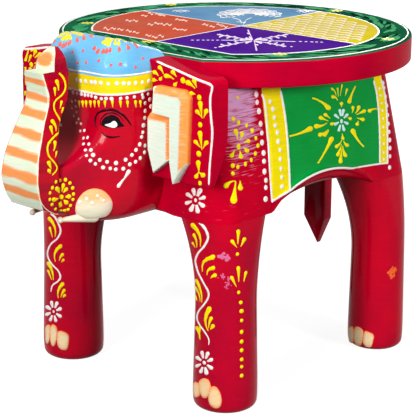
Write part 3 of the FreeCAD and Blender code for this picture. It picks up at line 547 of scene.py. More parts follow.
# each front leg has a white vine with yellow leaves, two white flowers and nails
near, far = "leg_front_left_column", "leg_front_right_column"
near_vine = [
    (194.2, 219.7), (198.8, 221.9), (204.2, 227.5), (207.5, 234.2), (207.6, 239.5), (203.8, 246.7),
    (198, 253.3), (195.4, 260), (196, 265.5), (198.5, 273.3), (204.2, 284.2), (208.3, 292), (208, 298),
    (204.2, 304.2), (198.3, 311.7), (197, 318.3), (199.2, 324.2), (205, 332.5), (208.7, 339.2),
    (208.7, 345)]
near_leaves = [
    # tail, head, half width and the bend, if there is one
    ((200.3, 246.5), (192.8, 225.5), 2.6, 0.14), ((196.8, 247.5), (193.9, 235), 1.7, 0.08),
    ((195.2, 247.5), (192.6, 243), 1.2), ((202.4, 271.5), (212.6, 257.3), 2.8, -0.26),
    ((207, 275), (212.9, 268.2), 2.4, -0.26), ((210.7, 278.2), (214.6, 275.5), 2.3, -0.10),
    ((201.8, 302.5), (196.4, 281), 2.0, 0.08), ((200.2, 301.5), (195.3, 287.5), 1.6, 0.08),
    ((197.2, 300.5), (195.2, 296), 1.4), ((208.2, 331), (209.2, 309.3), 2.8, -0.16),
    ((208.6, 328.3), (211, 318.5), 2.0, -0.06), ((210.2, 329.5), (212.6, 326.4), 2.4),
    ((200, 340), (196.9, 328), 1.9, 0.06), ((199, 338), (200, 326.6), 1.4)]
far_vine = [
    (50.4, 213.5), (54.2, 216.4), (58.3, 223.3), (60.6, 231), (57.5, 238.3), (50.8, 244.2), (47.6, 251.7),
    (48.3, 258.3), (52.5, 265), (58.3, 271), (60.3, 277.3), (57.5, 281.7), (52.5, 285.3), (50.8, 291.7)]
far_leaves = [
    ((55, 236.7), (49.4, 218.8), 2.1, 0.14), ((52.5, 237.5), (49.8, 228), 1.3),
    ((55.4, 261.7), (60.3, 246.4), 2.2, -0.20), ((59.3, 260.8), (62.4, 254.8), 1.8, -0.10),
    ((61.5, 262), (63.2, 260.2), 1.6), ((53.3, 280), (48.4, 263.5), 2.1, 0.08),
    ((51.7, 280), (48.2, 271), 1.3), ((58.4, 298.3), (62.5, 284.3), 2.2, -0.16),
    ((60.8, 297.5), (64.1, 290.5), 1.8, -0.06), ((62.7, 297.5), (64.6, 295.4), 1.6)]
near_column = [
    ((237.8, 244), (238.4, 231.6), 2.2), ((236.9, 247.5), (232.4, 241.6), 2.1),
    ((240.7, 246.7), (244.4, 239.4), 2.1), ((238.8, 281.7), (238.4, 268.2), 2.1),
    ((236.3, 286.7), (231.8, 277.8), 2.0), ((243.7, 281.7), (245.9, 272.8), 1.7)]
near_column_dots = [
    (237.5, 254.2), (238.7, 292.5), (240.8, 302.5), (241.7, 311.2), (241.7, 320.5), (241.7, 332),
    (241.7, 341.7), (241.7, 350.3), (241.8, 359.5), (241.8, 366.8), (241.8, 375.7)]
near_nails = [
    [(194.2, 383), (197, 382.3), (199.6, 386), (200, 395), (197, 397.5), (194.4, 395)],
    [(199.4, 381), (203.8, 378.2), (208.8, 380.4), (210.9, 387), (210, 393), (206.3, 398.3), (201.7, 396),
     (199.2, 388)],
    [(210.8, 387.5), (216, 387), (220, 392.6), (221.8, 400), (220.3, 406.6), (215.4, 408.6), (210, 404.6),
     (208.2, 397)]]
far_nails = [
    [(46, 327), (48.8, 324.5), (50.8, 328), (50, 340), (47.5, 344), (46.2, 340)],
    [(51, 326.5), (54, 324.6), (57.2, 329), (57, 340), (53.5, 346.6), (50.8, 341)],
    [(58, 331.5), (63, 331.4), (68.6, 335), (69, 342.5), (67, 349.6), (62, 349.8), (58, 346), (57.2, 338)]]
rear_nails = [
    [(349, 328), (352.5, 326.4), (354.5, 332), (353.8, 341.5), (351, 343), (349.2, 340)],
    [(355, 327.6), (358, 326.6), (361.6, 329), (363.6, 333), (361.6, 344.6), (356.6, 345), (354.6, 340)],
    [(364.4, 331.8), (367.6, 331.6), (373.6, 335), (373.2, 341), (371, 346.8), (366, 346.6), (362.8, 342)]]
rim_shares = (0.9, 0.9, 0.8, 0.52, 0.34, 0.2)
nail_paint = enamel("nail_enamel", (250, 226, 186), (250, 206, 146), (248, 164, 100), waver=0.8,
                    ragged=0.9)
# pale pink, for the painted highlight specks on the near front leg
painted_glint_pink = enamel("painted_glint_pink_enamel", (226, 130, 176), (200, 60, 104), waver=1.0)

brushwork("leg_front_left_vine", [line(near_vine, (3.3, 2.7, 2.1, 2.0, 1.9, 1.8, 1.3), near)]
          + petals((204.2, 362.8), (8.0, 11.2), 8, 2.2, near, turn=0.3, middle=1.7), white,
          both_sides=False)
brushwork("leg_front_left_leaves", drops(near_leaves, near), yellow, both_sides=False)
brushwork("leg_front_right_vine", [line(far_vine, (2.3, 2.0, 1.8, 1.7, 1.6, 2.1, 1.2), far)]
          + petals((53.6, 311.6), (7.4, 10), 8, 2.0, far, turn=0.3, middle=1.5), white, both_sides=False)
brushwork("leg_front_right_leaves", drops(far_leaves, far), yellow, both_sides=False)
# the column on the outer side shows on one leg only, and its twin is its mirror image
brushwork("leg_front_columns", drops(near_column, near) + dots(near_column_dots, 1.8, near), yellow)


def speckles(centre, scatter, count, radii, *names):
    """Flat specks scattered round a pixel, closest near it: a painted highlight on the near front leg, a
    chipped coat on the rear leg.
    """
    places = np.add(centre, hand.standard_normal((count, 2)) * scatter)
    return dots(places, hand.uniform(*radii, count), *names, height=0.12)


# pale pink specks on the near front leg: a painted highlight where the glossy crimson catches the light
brushwork("leg_front_worn_spots", speckles((222.4, 256.4), (1.7, 1.2), 16, (0.7, 1.7), near)
          + speckles((226.8, 258.8), (1.2, 1.3), 10, (0.7, 1.6), near)
          + speckles((223, 277.4), (1.8, 1.3), 16, (0.4, 0.9), near)
          + speckles((227.6, 282.6), (1.8, 3.4), 30, (0.35, 0.9), near), painted_glint_pink, False)


def nails(name, outlines, leg, both_sides):
    """Cushions of putty for toenails, orange at the rims and cream in the middle."""
    marks = [patch(outline, leg, lift=1.0, spacing=1.5) for outline in outlines]
    shares = [np.append(np.repeat(rim_shares, rows.shape[1]), [rim_shares[0], 0]) for rows in marks]
    share_second(brushwork(name, marks, nail_paint, both_sides=both_sides),
                 np.concatenate(shares * (2 if both_sides else 1)))


nails("leg_front_left_nails", near_nails, near, False)
nails("leg_front_right_nails", far_nails, far, False)
nails("leg_rear_nails", rear_nails, "leg_rear_left_column", True)
worn_orange = enamel("worn_orange_enamel", (246, 112, 44), (236, 60, 60), waver=1.0)
brushwork("leg_rear_worn_spot",
          speckles((392.4, 271.6), (1.8, 2.0), 34, (0.7, 1.6), "leg_rear_left_column"),
          worn_orange, False)


# The body: one block of wood, its sides leaning in towards the board, its belly
# arched between the legs with a softened edge. Board, legs, head, ears and tail
# are glued to it.
body_top_height = 282
body_bottom = {"side": 117, "front": -147, "rear": 121}
body_top = {"side": 101, "front": -137, "rear": 104}
belly_span = (-81, 61)
belly_rise = 12
belly_bevel = 9
belly_edge = 4
belly_edge_fade = 12
ear_seat_height = 204
# the board's straight front edge, which head and ears stand against
chord_y = -137


def belly_height(x, y):
    """Underside: a circle's arc between the legs, that rises more near the sides."""
    rise = belly_rise + np.clip(np.abs(x) - body_bottom["side"] + belly_bevel, 0, None)
    half = (belly_span[1] - belly_span[0]) / 2
    radius = (half ** 2 + rise ** 2) / (2 * rise)
    away = np.clip(np.abs(y - sum(belly_span) / 2), 0, half)
    return leg_joint_height + np.sqrt(radius ** 2 - away ** 2) - (radius - rise)


def body_ring(lean, inset=0.0):
    """The level outline at that share of the way from bottom to top, moved in."""
    lean = np.atleast_1d(np.asarray(lean, float))
    side = body_bottom["side"] + lean * (body_top["side"] - body_bottom["side"]) - inset
    front = body_bottom["front"] + lean * (body_top["front"] - body_bottom["front"]) + inset
    rear = body_bottom["rear"] + lean * (body_top["rear"] - body_bottom["rear"]) - inset
    rounds = [np.full(len(lean), outer_round - inset)] * 4
    return rounded_rings(-side, side, front, rear, rounds, 10, 60)


def body_rows():
    """Rings from the middle of the belly outwards, round the belly's edge by a
    quarter circle, up the leaning sides and over the top."""
    outer = body_ring(0.0)[0]
    # the soft edge dies out where a leg stands under the body
    past_leg = np.minimum(np.abs(outer[:, 0]) - leg_top_x[0],
                          np.maximum(belly_span[0] - outer[:, 1], outer[:, 1] - belly_span[1]))
    soft = belly_edge * np.clip(-past_leg / belly_edge_fade, 0.02, 1)[:, None]
    inner = body_ring(0.0, belly_edge)[0]
    flat = outer + (inner - outer) * soft / belly_edge
    middle = np.array([0, (body_bottom["front"] + body_bottom["rear"]) / 2])
    rows = []
    for share in np.linspace(0.05, 1, 24):
        ring = middle + share * (flat - middle)
        rows.append(np.column_stack([ring, belly_height(ring[:, 0], ring[:, 1])]))
    edge_height = belly_height(outer[:, 0], outer[:, 1])
    for turn in np.linspace(0, math.pi / 2, 7)[1:]:
        ring = outer + (flat - outer) * (1 - math.sin(turn))
        rows.append(np.column_stack([ring, edge_height + soft[:, 0] * (1 - math.cos(turn))]))
    base = edge_height + soft[:, 0]
    for share in np.linspace(0, 1, 40)[1:]:
        height = base + (body_top_height - base) * share
        lean = (height - leg_joint_height) / (body_top_height - leg_joint_height)
        ring = outer + (body_ring(1.0)[0] - outer) * lean[:, None]
        ring[:, 1] = np.where(height > ear_seat_height, np.maximum(ring[:, 1], chord_y), ring[:, 1])
        rows.append(np.column_stack([ring, height]))
    return np.stack(rows)


rows = body_rows()
# the left flank's front carries a painted reflection: a pale mauve sheen of the glossy flank, painted in,
# strongest near the board
painted_sheen_span = (-134, -84)
painted_sheen_fades = (10, 14)
painted_sheen_foot, painted_sheen_rise = 196, 70
painted_sheen_share = 0.74
painted_sheen_inner_x = 60
front_share = (np.clip((rows[..., 1] - painted_sheen_span[0]) / painted_sheen_fades[0], 0, 1)
               * np.clip((painted_sheen_span[1] - rows[..., 1]) / painted_sheen_fades[1], 0, 1))
height_share = np.clip((rows[..., 2] - painted_sheen_foot) / painted_sheen_rise, 0, 1)
painted_sheen = painted_sheen_share * front_share * height_share ** 0.8 * (rows[..., 0] > painted_sheen_inner_x)
make_piece("body_barrel", rows, [crimson_with_painted_sheen], ["body_block"], 50, second=painted_sheen)

# a saddle cloth is painted on both flanks: green, with a yellow band at each end;
# these are the pixels of the bands' four borders, from the board down
cloth_borders = [
    [(261.9, 93.8), (265, 103.8), (266.9, 122.5), (268.8, 150), (270, 170), (271.3, 190), (272.3, 202.5)],
    [(280.6, 90.6), (283.8, 107.5), (286.3, 126.3), (288.1, 147.5), (289.4, 170), (290, 191)],
    [(373.8, 80.6), (376.9, 95), (378.8, 113.8), (379.8, 138.8), (380, 163.1)],
    [(381.3, 79.4), (385, 95), (386.9, 113.8), (387.6, 138.8), (387.6, 164)]]
cloth_hem = [
    (272.3, 201.2), (287.5, 192), (302.5, 185.6), (316.3, 180.3), (325, 176), (337.5, 171),
    (356.3, 167.5), (375, 164.5), (387.5, 163)]
cloth_clearance = 3.2
cloth_lift = 0.22
cloth_sink = 0.4
band_steps = (5, 4)
cloth_top_gap = 0.2
cloth_low_guess = 190.0
beyond_flank = 200
hem_halves = (1.2, 0.95)
hem_relief = 0.6
cloth_green = enamel("cloth_green_enamel", (0, 150, 54), (8, 166, 74), waver=0.9)


def cloth_rows():
    """Rings from the front border to the rear one: down a thin coat's outside and
    up its inside. Each column keeps its share of the way between the borders, so
    its place and its lower end are found by turns."""
    borders = [traced(smooth_path(border), "body_barrel") for border in cloth_borders]
    hem = traced(smooth_path(cloth_hem), "body_barrel")
    hem = hem[np.argsort(hem[:, 1])]
    steps = [np.linspace(0, 1, band_steps[0] + 1), 1 + np.linspace(0, 1, 45)[1:],
             2 + np.linspace(0, 1, band_steps[1] + 1)[1:]]
    rows = []
    for step in np.concatenate(steps):
        k = min(int(step), 2)
        low = cloth_low_guess
        for _ in range(4):
            y = [np.interp(low, border[::-1, 2], border[::-1, 1]) for border in borders]
            here = y[k] + (y[k + 1] - y[k]) * (step - k)
            belly = belly_height(body_bottom["side"], here) + cloth_clearance
            low = max(np.interp(here, hem[:, 1], hem[:, 2]), belly)
        outside, inside = [], []
        for height in low + (body_top_height - cloth_top_gap - low) * np.linspace(1, 0, 30) ** 1.8:
            y = [np.interp(height, border[::-1, 2], border[::-1, 1]) for border in borders]
            start = Vector((beyond_flank, y[k] + (y[k + 1] - y[k]) * (step - k), height))
            place, outward, _, _ = carriers["body_barrel"].ray_cast(start, Vector((-1, 0, 0)))
            outside.append(place + outward * cloth_lift)
            inside.append(place - outward * cloth_sink)
        rows.append(outside + inside[::-1])
    return np.array([[list(point) for point in row] for row in rows])


rows = cloth_rows()
bands = np.zeros((rows.shape[0] - 1, rows.shape[1]), int)
bands[:band_steps[0]] = 1
bands[-band_steps[1]:] = 1
make_pair("saddle_cloth_%s", rows, [cloth_green, yellow], None, 50, bands)

# the white line round the cloth's lower edge, wider at the front
on_flank = ("body_barrel", "saddle_cloth_left")
hem_points, outward = laid_on(rows[:, rows.shape[1] // 2 - 1], "body_barrel")
way = np.gradient(hem_points, axis=0)
way /= np.linalg.norm(way, axis=1, keepdims=True)
above = np.cross(outward, way) * np.linspace(*hem_halves, len(rows))[:, None]
hem_line = ridge(hem_points, (hem_points + above, hem_points - above), outward, hem_relief)

flank_dots = [
    (256.3, 94.4), (257.1, 102.3), (258.9, 111.3), (260.6, 123.8), (261.8, 132.9), (262, 142.5),
    (263.6, 152.9), (264.1, 161.3), (264.5, 171.6), (265.9, 180.3), (265.9, 187.5), (265.6, 199.1)]
rear_dots = [
    (383.1, 83.1), (384, 88.1), (385.4, 96.9), (386.9, 105.6), (387.9, 115), (388.5, 123.8), (389.1, 131.9),
    (389.8, 140), (390, 148.1), (390, 156.3), (389.6, 167.5)]
front_band_dots = [
    (270, 101.5), (272.9, 109), (274.4, 117.5), (275.3, 125.4), (277.4, 132.5), (278.3, 141.5), (280, 150),
    (280.4, 159.3), (281, 168.8), (281.9, 177.1), (282.1, 186.5)]
rear_band_dots = [
    (379.4, 88.8), (380.6, 95.6), (381.6, 103.1), (382.5, 110.6), (383.1, 118.8), (383.5, 126.9),
    (383.8, 135), (383.8, 143.8), (383.8, 152.5), (383.8, 159.4)]
medallion_middle = np.array([341.5, 120.6])
medallion_petals = [
    (340, 110.6), (343.4, 110.6), (347, 115), (347, 123.3), (344, 129.6), (339, 130), (335.4, 124.2),
    (335.6, 115.3)]
medallion_drops = [
    # tail, head, half width and the bend, if there is one
    ((341.4, 107), (341.5, 103.8), 2.2), ((337.5, 100.5), (333.2, 96.9), 2.3, 0.2),
    ((336, 96), (332, 88.8), 1.3, 0.15), ((338.4, 96.5), (337.6, 88.5), 1.0),
    ((340.2, 96), (342, 85), 0.9), ((345.2, 96), (347, 89.6), 1.4), ((330.4, 118.4), (325.6, 114.8), 2.2),
    ((328, 120.8), (321, 117.8), 2.5), ((327, 123), (316.6, 126.2), 2.9, -0.1),
    ((335.4, 122.6), (332.1, 123.8), 2.2), ((328, 129.6), (320.4, 134.6), 2.6, -0.1),
    ((328.8, 129.8), (325, 134.8), 2.2, -0.1), ((352, 113), (352.9, 107.6), 1.9, 0.1),
    ((355.2, 113.4), (358.7, 107.4), 2.2, 0.1), ((356.6, 114.6), (364, 111.2), 2.3),
    ((357.2, 118), (362.7, 119.4), 2.3), ((358.4, 121), (357.4, 123.9), 2.2),
    ((347.6, 117.6), (350, 118.5), 2.0), ((342.2, 133.6), (342.9, 138.1), 2.0),
    ((341.6, 140), (336.8, 146.3), 2.2, -0.1), ((343.6, 140.6), (347, 145), 2.3, 0.1),
    ((341.4, 144), (338, 154.4), 2.3, -0.05), ((342, 148), (340.6, 161.2), 2.5),
    ((342.8, 146), (345.2, 155), 2.5, 0.05)]
medallion_rays = [
    ((312.3, 98), (328.2, 107.6), 2.8, -0.08), ((289.5, 136.3), (310, 128.8), 3.0, 0.04),
    ((318.1, 163.3), (331.4, 139.2), 2.8, 0.02), ((363.8, 146.6), (353.2, 131.2), 2.8, -0.06),
    ((376.9, 108.8), (370, 110.7), 2.2, 0.1), ((355.6, 86.2), (349.5, 101.4), 2.3, 0.03)]
flank_drops = [
    ((237.8, 139.6), (235.8, 131.6), 3.0), ((240, 139.6), (242, 133.9), 2.8, 0.1),
    ((243.6, 142.6), (248, 141.2), 2.6), ((243.2, 147), (246.8, 150.4), 2.8),
    ((239.8, 150.6), (241, 156.2), 2.9), ((234.9, 150), (231.9, 155.4), 2.9),
    ((235.6, 181), (226.4, 185.7), 3.2, 0.14), ((235.7, 181.6), (233.8, 199.6), 4.5),
    ((240.2, 180.6), (240.4, 187.6), 3.3), ((239.6, 99), (237.6, 97.6), 1.9)]
flank_arc = [
    (233.1, 118.8), (238.5, 122.8), (246.6, 125.4), (252.3, 130.6), (255.9, 138.1), (258, 145.6),
    (255.4, 153.5), (251.3, 160), (245.4, 164), (237.9, 166.9), (232.8, 165.6), (232.9, 173.4)]
brushwork("flank_lines", [line(border, (2.4, 2.0), *on_flank) for border in cloth_borders[:2]]
          + [line(border, 1.8, *on_flank) for border in cloth_borders[2:]] + [hem_line]
          + dots(flank_dots, 2.5, *on_flank) + dots(rear_dots, 2.2, *on_flank)
          + dots(front_band_dots, 2.3, *on_flank) + dots(rear_band_dots, 1.2, *on_flank), white)
brushwork("flank_flowers", drops(medallion_drops + flank_drops, *on_flank, scale=0.92, power=1.8)
          + drops(medallion_rays, *on_flank, point=0.32, power=3.4)
          + dots([(238.5, 146.6)], 2.9, *on_flank) + dots(flank_arc, 2.1, *on_flank), yellow)
pale_blue = enamel("pale_blue_enamel", (208, 240, 240), (190, 226, 232))
brushwork("flank_medallions", [
    drop(medallion_middle + 0.45 * (petal - medallion_middle), petal, 1.7, *on_flank, point=0.5)
    for petal in np.array(medallion_petals)] + dots([(341.5, 121.2)], 1.9, *on_flank), pale_blue)
brushwork("chest_flowers",
          petals((195.5, 200.2), (9.0, 11.4), 8, 2.5, "body_barrel", near, turn=0.25, middle=1.8), white)


# The head: one block, flat cheeks that narrow to a long muzzle, a flat face and a
# crown that falls back to the board. A sky-blue cap, a yellow headband and the
# crimson face are painted on it.
head_half_width = 48.5
head_depth = 101
corner_round = 13
# how far forward of the board's straight edge, and the half width there, in shares
cheek_shares = np.array([
    (0.00, 1.000), (0.21, 1.000), (0.34, 0.995), (0.45, 0.960), (0.54, 0.890), (0.61, 0.820),
    (0.69, 0.695), (0.80, 0.570), (0.92, 0.485), (1.00, 0.460), (1.10, 0.450)])
# height, inset of the half width, back and front of the outline, pinch at the back
head_levels = np.array([
    (168, 18, 120, 190, 0), (169, 13, 120, 203, 0), (171.5, 8.5, 120, 213, 0), (175, 5, 120, 223, 0),
    (180, 2.6, 120, 236, 0), (187, 0.9, 120, 243, 0), (196, 0, 120, 244, 0), (208, 0, 120, 243, 0),
    (216, 0, 120, 241, 0), (220, 0, 120, 237, 0), (222.5, 0, 120, 231, 0), (226, 0, 120, 223.5, 0),
    (231, 0, 120, 215.5, 0), (238, 0, 120, 208, 0), (247, 0, 120, 203.6, 0), (258, 0, 120, 202.2, 0),
    (275, 0, 120, 202, 0), (288, 0, 120, 202, 0.5), (295, 0.2, 120, 202, 2), (300, 0.6, 121, 201.5, 3.6),
    (306, 2.2, 127, 200, 6.4), (309, 3.4, 137, 198.8, 7.2), (313, 5.6, 151, 196.6, 7),
    (317, 9.2, 165, 193, 5), (319, 12, 172.9, 190.8, 2.5)])
crown_height = 321
jaw_height, dome_height = head_levels[[0, -1], 0]
cheek_height = 180
pinch_end = 0.45
headband = (278, 292.5)
polished_crimson = enamel("polished_crimson_enamel", (194, 0, 32), (146, 0, 38), waver=0.8, shine=0.2)
headband_yellow = enamel("headband_yellow_enamel", (240, 224, 22), (238, 202, 18), shine=0.15)
sky_blue = enamel("sky_blue_enamel", (98, 182, 232), (128, 190, 232), waver=0.9, shine=0.15)


def cheek(forward, inset, pinch):
    """Half width at that distance in front of the board's straight edge."""
    share = forward / head_depth
    width = smooth_through(cheek_shares[:, 0], cheek_shares[:, 1:], np.clip(share, 0, 1.1).ravel())
    pinched = pinch * np.clip(1 - np.clip(share, 0, None) / pinch_end, 0, None)
    return head_half_width * width.reshape(share.shape) - inset - pinched


def head_rings(heights):
    """Level outlines of the head: back, round corner, cheek, round corner, face,
    and the same again mirrored."""
    inset, back, front, pinch = (
        v[:, None] for v in smooth_through(head_levels[:, 0], head_levels[:, 1:], heights).T)
    start, end = back + chord_y, front + chord_y
    r = np.minimum(corner_round, 0.45 * (end - start))
    turn = np.linspace(0, math.pi / 2, 9)[None, :]
    side = np.linspace(0, 1, 61)[None, 1:-1]
    flat = np.linspace(0, 1, 9)[None, :-1]
    rear_x = cheek(start + r * (1 - np.cos(turn)), inset, pinch) - r * (1 - np.sin(turn))
    rear_y = start + r * (1 - np.cos(turn))
    cheek_y = start + r + (end - start - 2 * r) * side
    cheek_x = cheek(cheek_y, inset, pinch)
    fore_y = end - r * (1 - np.sin(turn))
    fore_x = cheek(fore_y, inset, pinch) - r * (1 - np.cos(turn))
    back_x = rear_x[:, :1] * flat
    face_x = fore_x[:, -1:] * flat[:, ::-1]
    half_x = np.concatenate([back_x, rear_x, cheek_x, fore_x, face_x], axis=1)
    half_y = np.concatenate([start + 0 * back_x, rear_y, cheek_y, fore_y, end + 0 * face_x], axis=1)
    x = np.concatenate([half_x, -half_x[:, -2:0:-1]], axis=1)
    y = np.concatenate([half_y, half_y[:, -2:0:-1]], axis=1)
    # forward is -y, so the ring runs the other way round
    return np.stack([x, chord_y - y], axis=-1)[:, ::-1]


def head_rows():
    """Rings up the head, closed at the crown by a low dome."""
    heights = np.concatenate([
        np.linspace(jaw_height, cheek_height, 14), np.linspace(cheek_height, headband[0], 70)[1:],
        np.linspace(*headband, 14)[1:], np.linspace(headband[1], dome_height, 30)[1:]])
    rings = head_rings(heights)
    rings[..., 1] = np.clip(rings[..., 1], chord_y - head_depth, chord_y)
    rows = at_heights(rings, heights)
    top = rows[-1]
    middle = top.mean(axis=0)
    for share in np.linspace(0, 1, 10)[1:-1]:
        ring = middle + (top - middle) * math.sqrt(1 - share ** 2)
        ring[:, 2] = dome_height + (crown_height - dome_height) * share
        rows = np.concatenate([rows, ring[None]])
    return rows


rows = head_rows()
# crimson below the headband, yellow on it and blue above, by the rings' heights
levels = np.repeat(rows[:-1, :, 2].mean(axis=1)[:, None], rows.shape[1], axis=1)
zones = np.searchsorted(headband, levels + 0.01)
make_piece("head_carving", rows, [polished_crimson, headband_yellow, sky_blue],
           ["head_block"], 50, zones)

on_head = ("head_carving",)
band_dots = [
    (76.6, 80), (80.6, 81), (85.6, 81.5), (91.3, 82.3), (95, 82.5), (100.6, 83.1), (108.1, 84), (116.9, 83.5),
    (123.8, 83.5), (129, 83.5), (135.6, 83.1), (142.3, 82.3), (148.8, 81)]
fringe_dots = [
    (73.1, 92.5), (77.1, 93.4), (81.3, 94), (85, 95), (88.1, 95.3), (91.5, 96), (95.6, 97.5), (101.3, 98.8),
    (106, 98.5), (111.5, 98.8), (120.6, 98.5), (127.1, 97.9), (134.4, 96.9), (142.3, 94.8), (148.1, 94)]
fringe_places = [79, 82.5, 86, 90.3, 94.4, 98.5, 104.8, 112.3, 120.4, 127.5, 135.6, 140.4]
bridle_outer = [
    (71.9, 101.5), (71.9, 108.1), (74, 116), (76.5, 122.8), (80.3, 131), (83.5, 138.1), (83.5, 144),
    (85.4, 150), (86.5, 155.6), (90.4, 160.6), (95.4, 164), (103.1, 167.5), (110.3, 168.5),
    (115.8, 169.4), (123.3, 168.8), (129.8, 164.4), (135.6, 161.9), (140.3, 158.1), (144.4, 152.3),
    (145, 145.6)]
bridle_inner = [
    (75.5, 100.6), (75.9, 106.5), (76.5, 111.9), (78.5, 118.8), (80.9, 123.8), (84.4, 130.4),
    (87.5, 137.5), (88.8, 144), (90.9, 150), (93.1, 155), (99.8, 160), (107.1, 161.9), (116, 163.1),
    (125.6, 159.8), (131.9, 155), (136, 150), (139.8, 144.4), (141.6, 136.9), (142.8, 132.3),
    (143.5, 125.4), (144.8, 117.9), (145.3, 110.9), (145.3, 103.1), (143.1, 97.5), (150.6, 116.9),
    (151, 106.3), (149.8, 99.4)]


def dot_sizes(pixels):
    """Radii of the bridle's dots: they shrink towards the middle of the face."""
    return np.interp([x for x, y in pixels], (74, 98), (1.15, 1.8))


brushwork("head_white_marks", [
    line([(70, 70), (85, 71.9), (102.5, 75), (117.5, 75.8), (133.8, 74.6), (153.8, 71.3)], 1.9, *on_head),
    line([(71.3, 88.8), (85, 91.9), (102.5, 94.6), (121.3, 94.4), (140, 91.9), (152.5, 88.8)], 2.3, *on_head),
    drop((123, 181), (128.6, 171.8), 2.4, *on_head), drop((126, 176), (118.7, 185.8), 2.1, *on_head)]
    + dots(band_dots, 1.9, *on_head) + dots(fringe_dots, 1.6, *on_head)
    + dots(bridle_outer, dot_sizes(bridle_outer), *on_head)
    + dots(bridle_inner, dot_sizes(bridle_inner), *on_head), white)
brushwork("head_fringe", [drop((x + 0.4, 107.4), (x, 101.8), 1.6, *on_head) for x in fringe_places], yellow)

# the eye and its light, with the creases of its lids
eye_outline = [
    (101.3, 125), (102.5, 120), (107.5, 115.6), (113.8, 115), (118.8, 118.1), (121.3, 122.5), (124.4, 126),
    (117.5, 127.6), (111.3, 128.2), (105, 127)]
eye_light_outline = [
    (104.6, 124.9), (110, 123.3), (113.8, 120.8), (116.5, 122.5), (117.3, 125.6), (114.4, 127.8),
    (109.4, 127)]
lid_lines = [
    # pixels, widths
    ([(96.3, 127.5), (95, 120), (97.5, 113.8), (103.8, 110.6), (112.5, 110), (121.3, 113.8), (127.5, 120),
      (131.6, 126)], (1.2, 2.6, 3.0, 2.8, 1.4)),
    ([(100, 126), (101, 119.6), (105.6, 114.4), (113, 112.9), (119.4, 116), (123.6, 121.4)],
     (0.8, 1.6, 1.6, 0.8)),
    ([(101.6, 132.2), (106.3, 136.2), (112.8, 137.4), (120.4, 136.2)], (1.2, 2.6, 1.2))]
eye_black = enamel("eye_black_enamel", (24, 12, 18), (44, 10, 22), waver=0.6)
lid_dark = enamel("lid_dark_enamel", (52, 2, 18), (34, 4, 14), waver=0.8)
brushwork("eyes", [patch(eye_outline, *on_head, lift=0.22)], eye_black)
brushwork("eye_lights", [patch(eye_light_outline, "eyes", *on_head, lift=0.2)], white)
brushwork("eyelids", [line(*lid_line, *on_head, height=0.2) for lid_line in lid_lines], lid_dark)

# the cap's fans of petals over arcs of coral, and scattered pink spots
coral = enamel("coral_enamel", (238, 92, 76), (236, 124, 114), waver=0.8)
fan_petals = [
    ((113.6, 36.6), (103.3, 42.4)), ((114.4, 37.4), (108.2, 44.6)), ((115.6, 37.4), (115.2, 43.4)),
    ((117, 37), (124.4, 41)), ((114, 35.6), (106.8, 38.6)), ((118, 36), (130, 38.6)),
    ((116.4, 35.4), (121, 37.6)), ((68.6, 32.2), (58.6, 36.2)), ((69, 32.8), (62.5, 39)),
    ((70, 33), (70.1, 38)), ((71.4, 32.6), (79, 34)), ((68, 31.4), (62, 31.6)),
    ((70.8, 31.8), (76, 30.4)), ((111.6, 38.6), (105, 43.4)), ((118.6, 38.6), (118.8, 43.6)),
    ((122.6, 37.4), (131.6, 40.6)), ((73, 32), (81.8, 34.4)), ((70.6, 33.6), (66, 38.8)),
    ((67, 32.6), (59.4, 34))]
coral_drops = [
    ((95.4, 46), (94.2, 48.6)), ((99.4, 48.6), (97.6, 52)), ((104.2, 48.8), (103, 52)),
    ((110.8, 47.4), (110, 50.6)), ((119.4, 46.6), (119.2, 49.8)), ((127.2, 44.6), (128.2, 47.8)),
    ((132.6, 40.6), (135, 43.8)), ((107.2, 48.2), (106.4, 51.6)), ((134.6, 43.4), (137, 46)),
    ((54.8, 38), (54.2, 40.8)), ((61, 41.8), (60, 44.2)), ((64.4, 43.2), (63, 46)),
    ((67, 42.2), (65.4, 45)), ((71, 40.4), (69.6, 43.2)), ((77.8, 37.4), (77.4, 40.4)),
    ((83.6, 35), (84, 38.2)), ((90.2, 32.6), (91.4, 35.8))]
coral_spots = [
    (72.6, 51.9), (77.7, 62.8), (86.1, 62.1), (98.7, 60.6), (111.1, 65), (120.5, 64.2), (135.4, 67.1),
    (142.6, 58.4), (83.2, 50.5)]
lemon = enamel("lemon_enamel", (244, 232, 60), (250, 216, 20), waver=1.0)
brushwork("cap_petals", [drop(*petal, 2.0, *on_head, point=0.3) for petal in fan_petals], lemon,
          both_sides=False)
brushwork("cap_corals", [drop(*mark, 2.1, *on_head, point=0.45) for mark in coral_drops]
          + dots(coral_spots, 1.4, *on_head, height=0.3), coral, both_sides=False)


# The trunk: a separate block doweled to the muzzle, raised in front of the face,
# with a ledge at its mouth and a pointed lip behind it. Its front is banded cream
# and orange, its sides are crimson.
trunk_root_height = 180
trunk_ledge_height = 299
trunk_tip_height = 317
trunk_front_y = -265
trunk_thickness = 22
trunk_half_width = 22.3
muzzle_y = -238
muzzle_top_height = 221
underside_lift = 12
# share of the way up, then width, front and back in thicknesses behind the front
trunk_shares = np.array([
    (0.00, 0.86, 0.36, 1.23), (0.08, 0.95, 0.17, 1.23), (0.27, 1.00, 0.00, 1.23), (0.40, 0.94, 0.09, 1.20),
    (0.54, 0.82, 0.34, 1.34), (0.66, 0.71, 0.62, 1.56), (0.75, 0.65, 0.88, 1.88), (0.83, 0.61, 1.00, 2.08),
    (0.92, 0.55, 0.90, 2.18), (1.00, 0.50, 0.80, 2.24)])
lip_shares = np.array([
    (0.00, 0.50, 1.33, 2.24), (0.37, 0.48, 1.37, 2.18), (0.75, 0.33, 1.58, 2.09), (1.00, 0.14, 1.78, 2.00)])
trunk_front = enamel("trunk_front_enamel", (232, 240, 216), (216, 232, 200), (246, 152, 86), waver=0.9,
                     ragged=0.8)


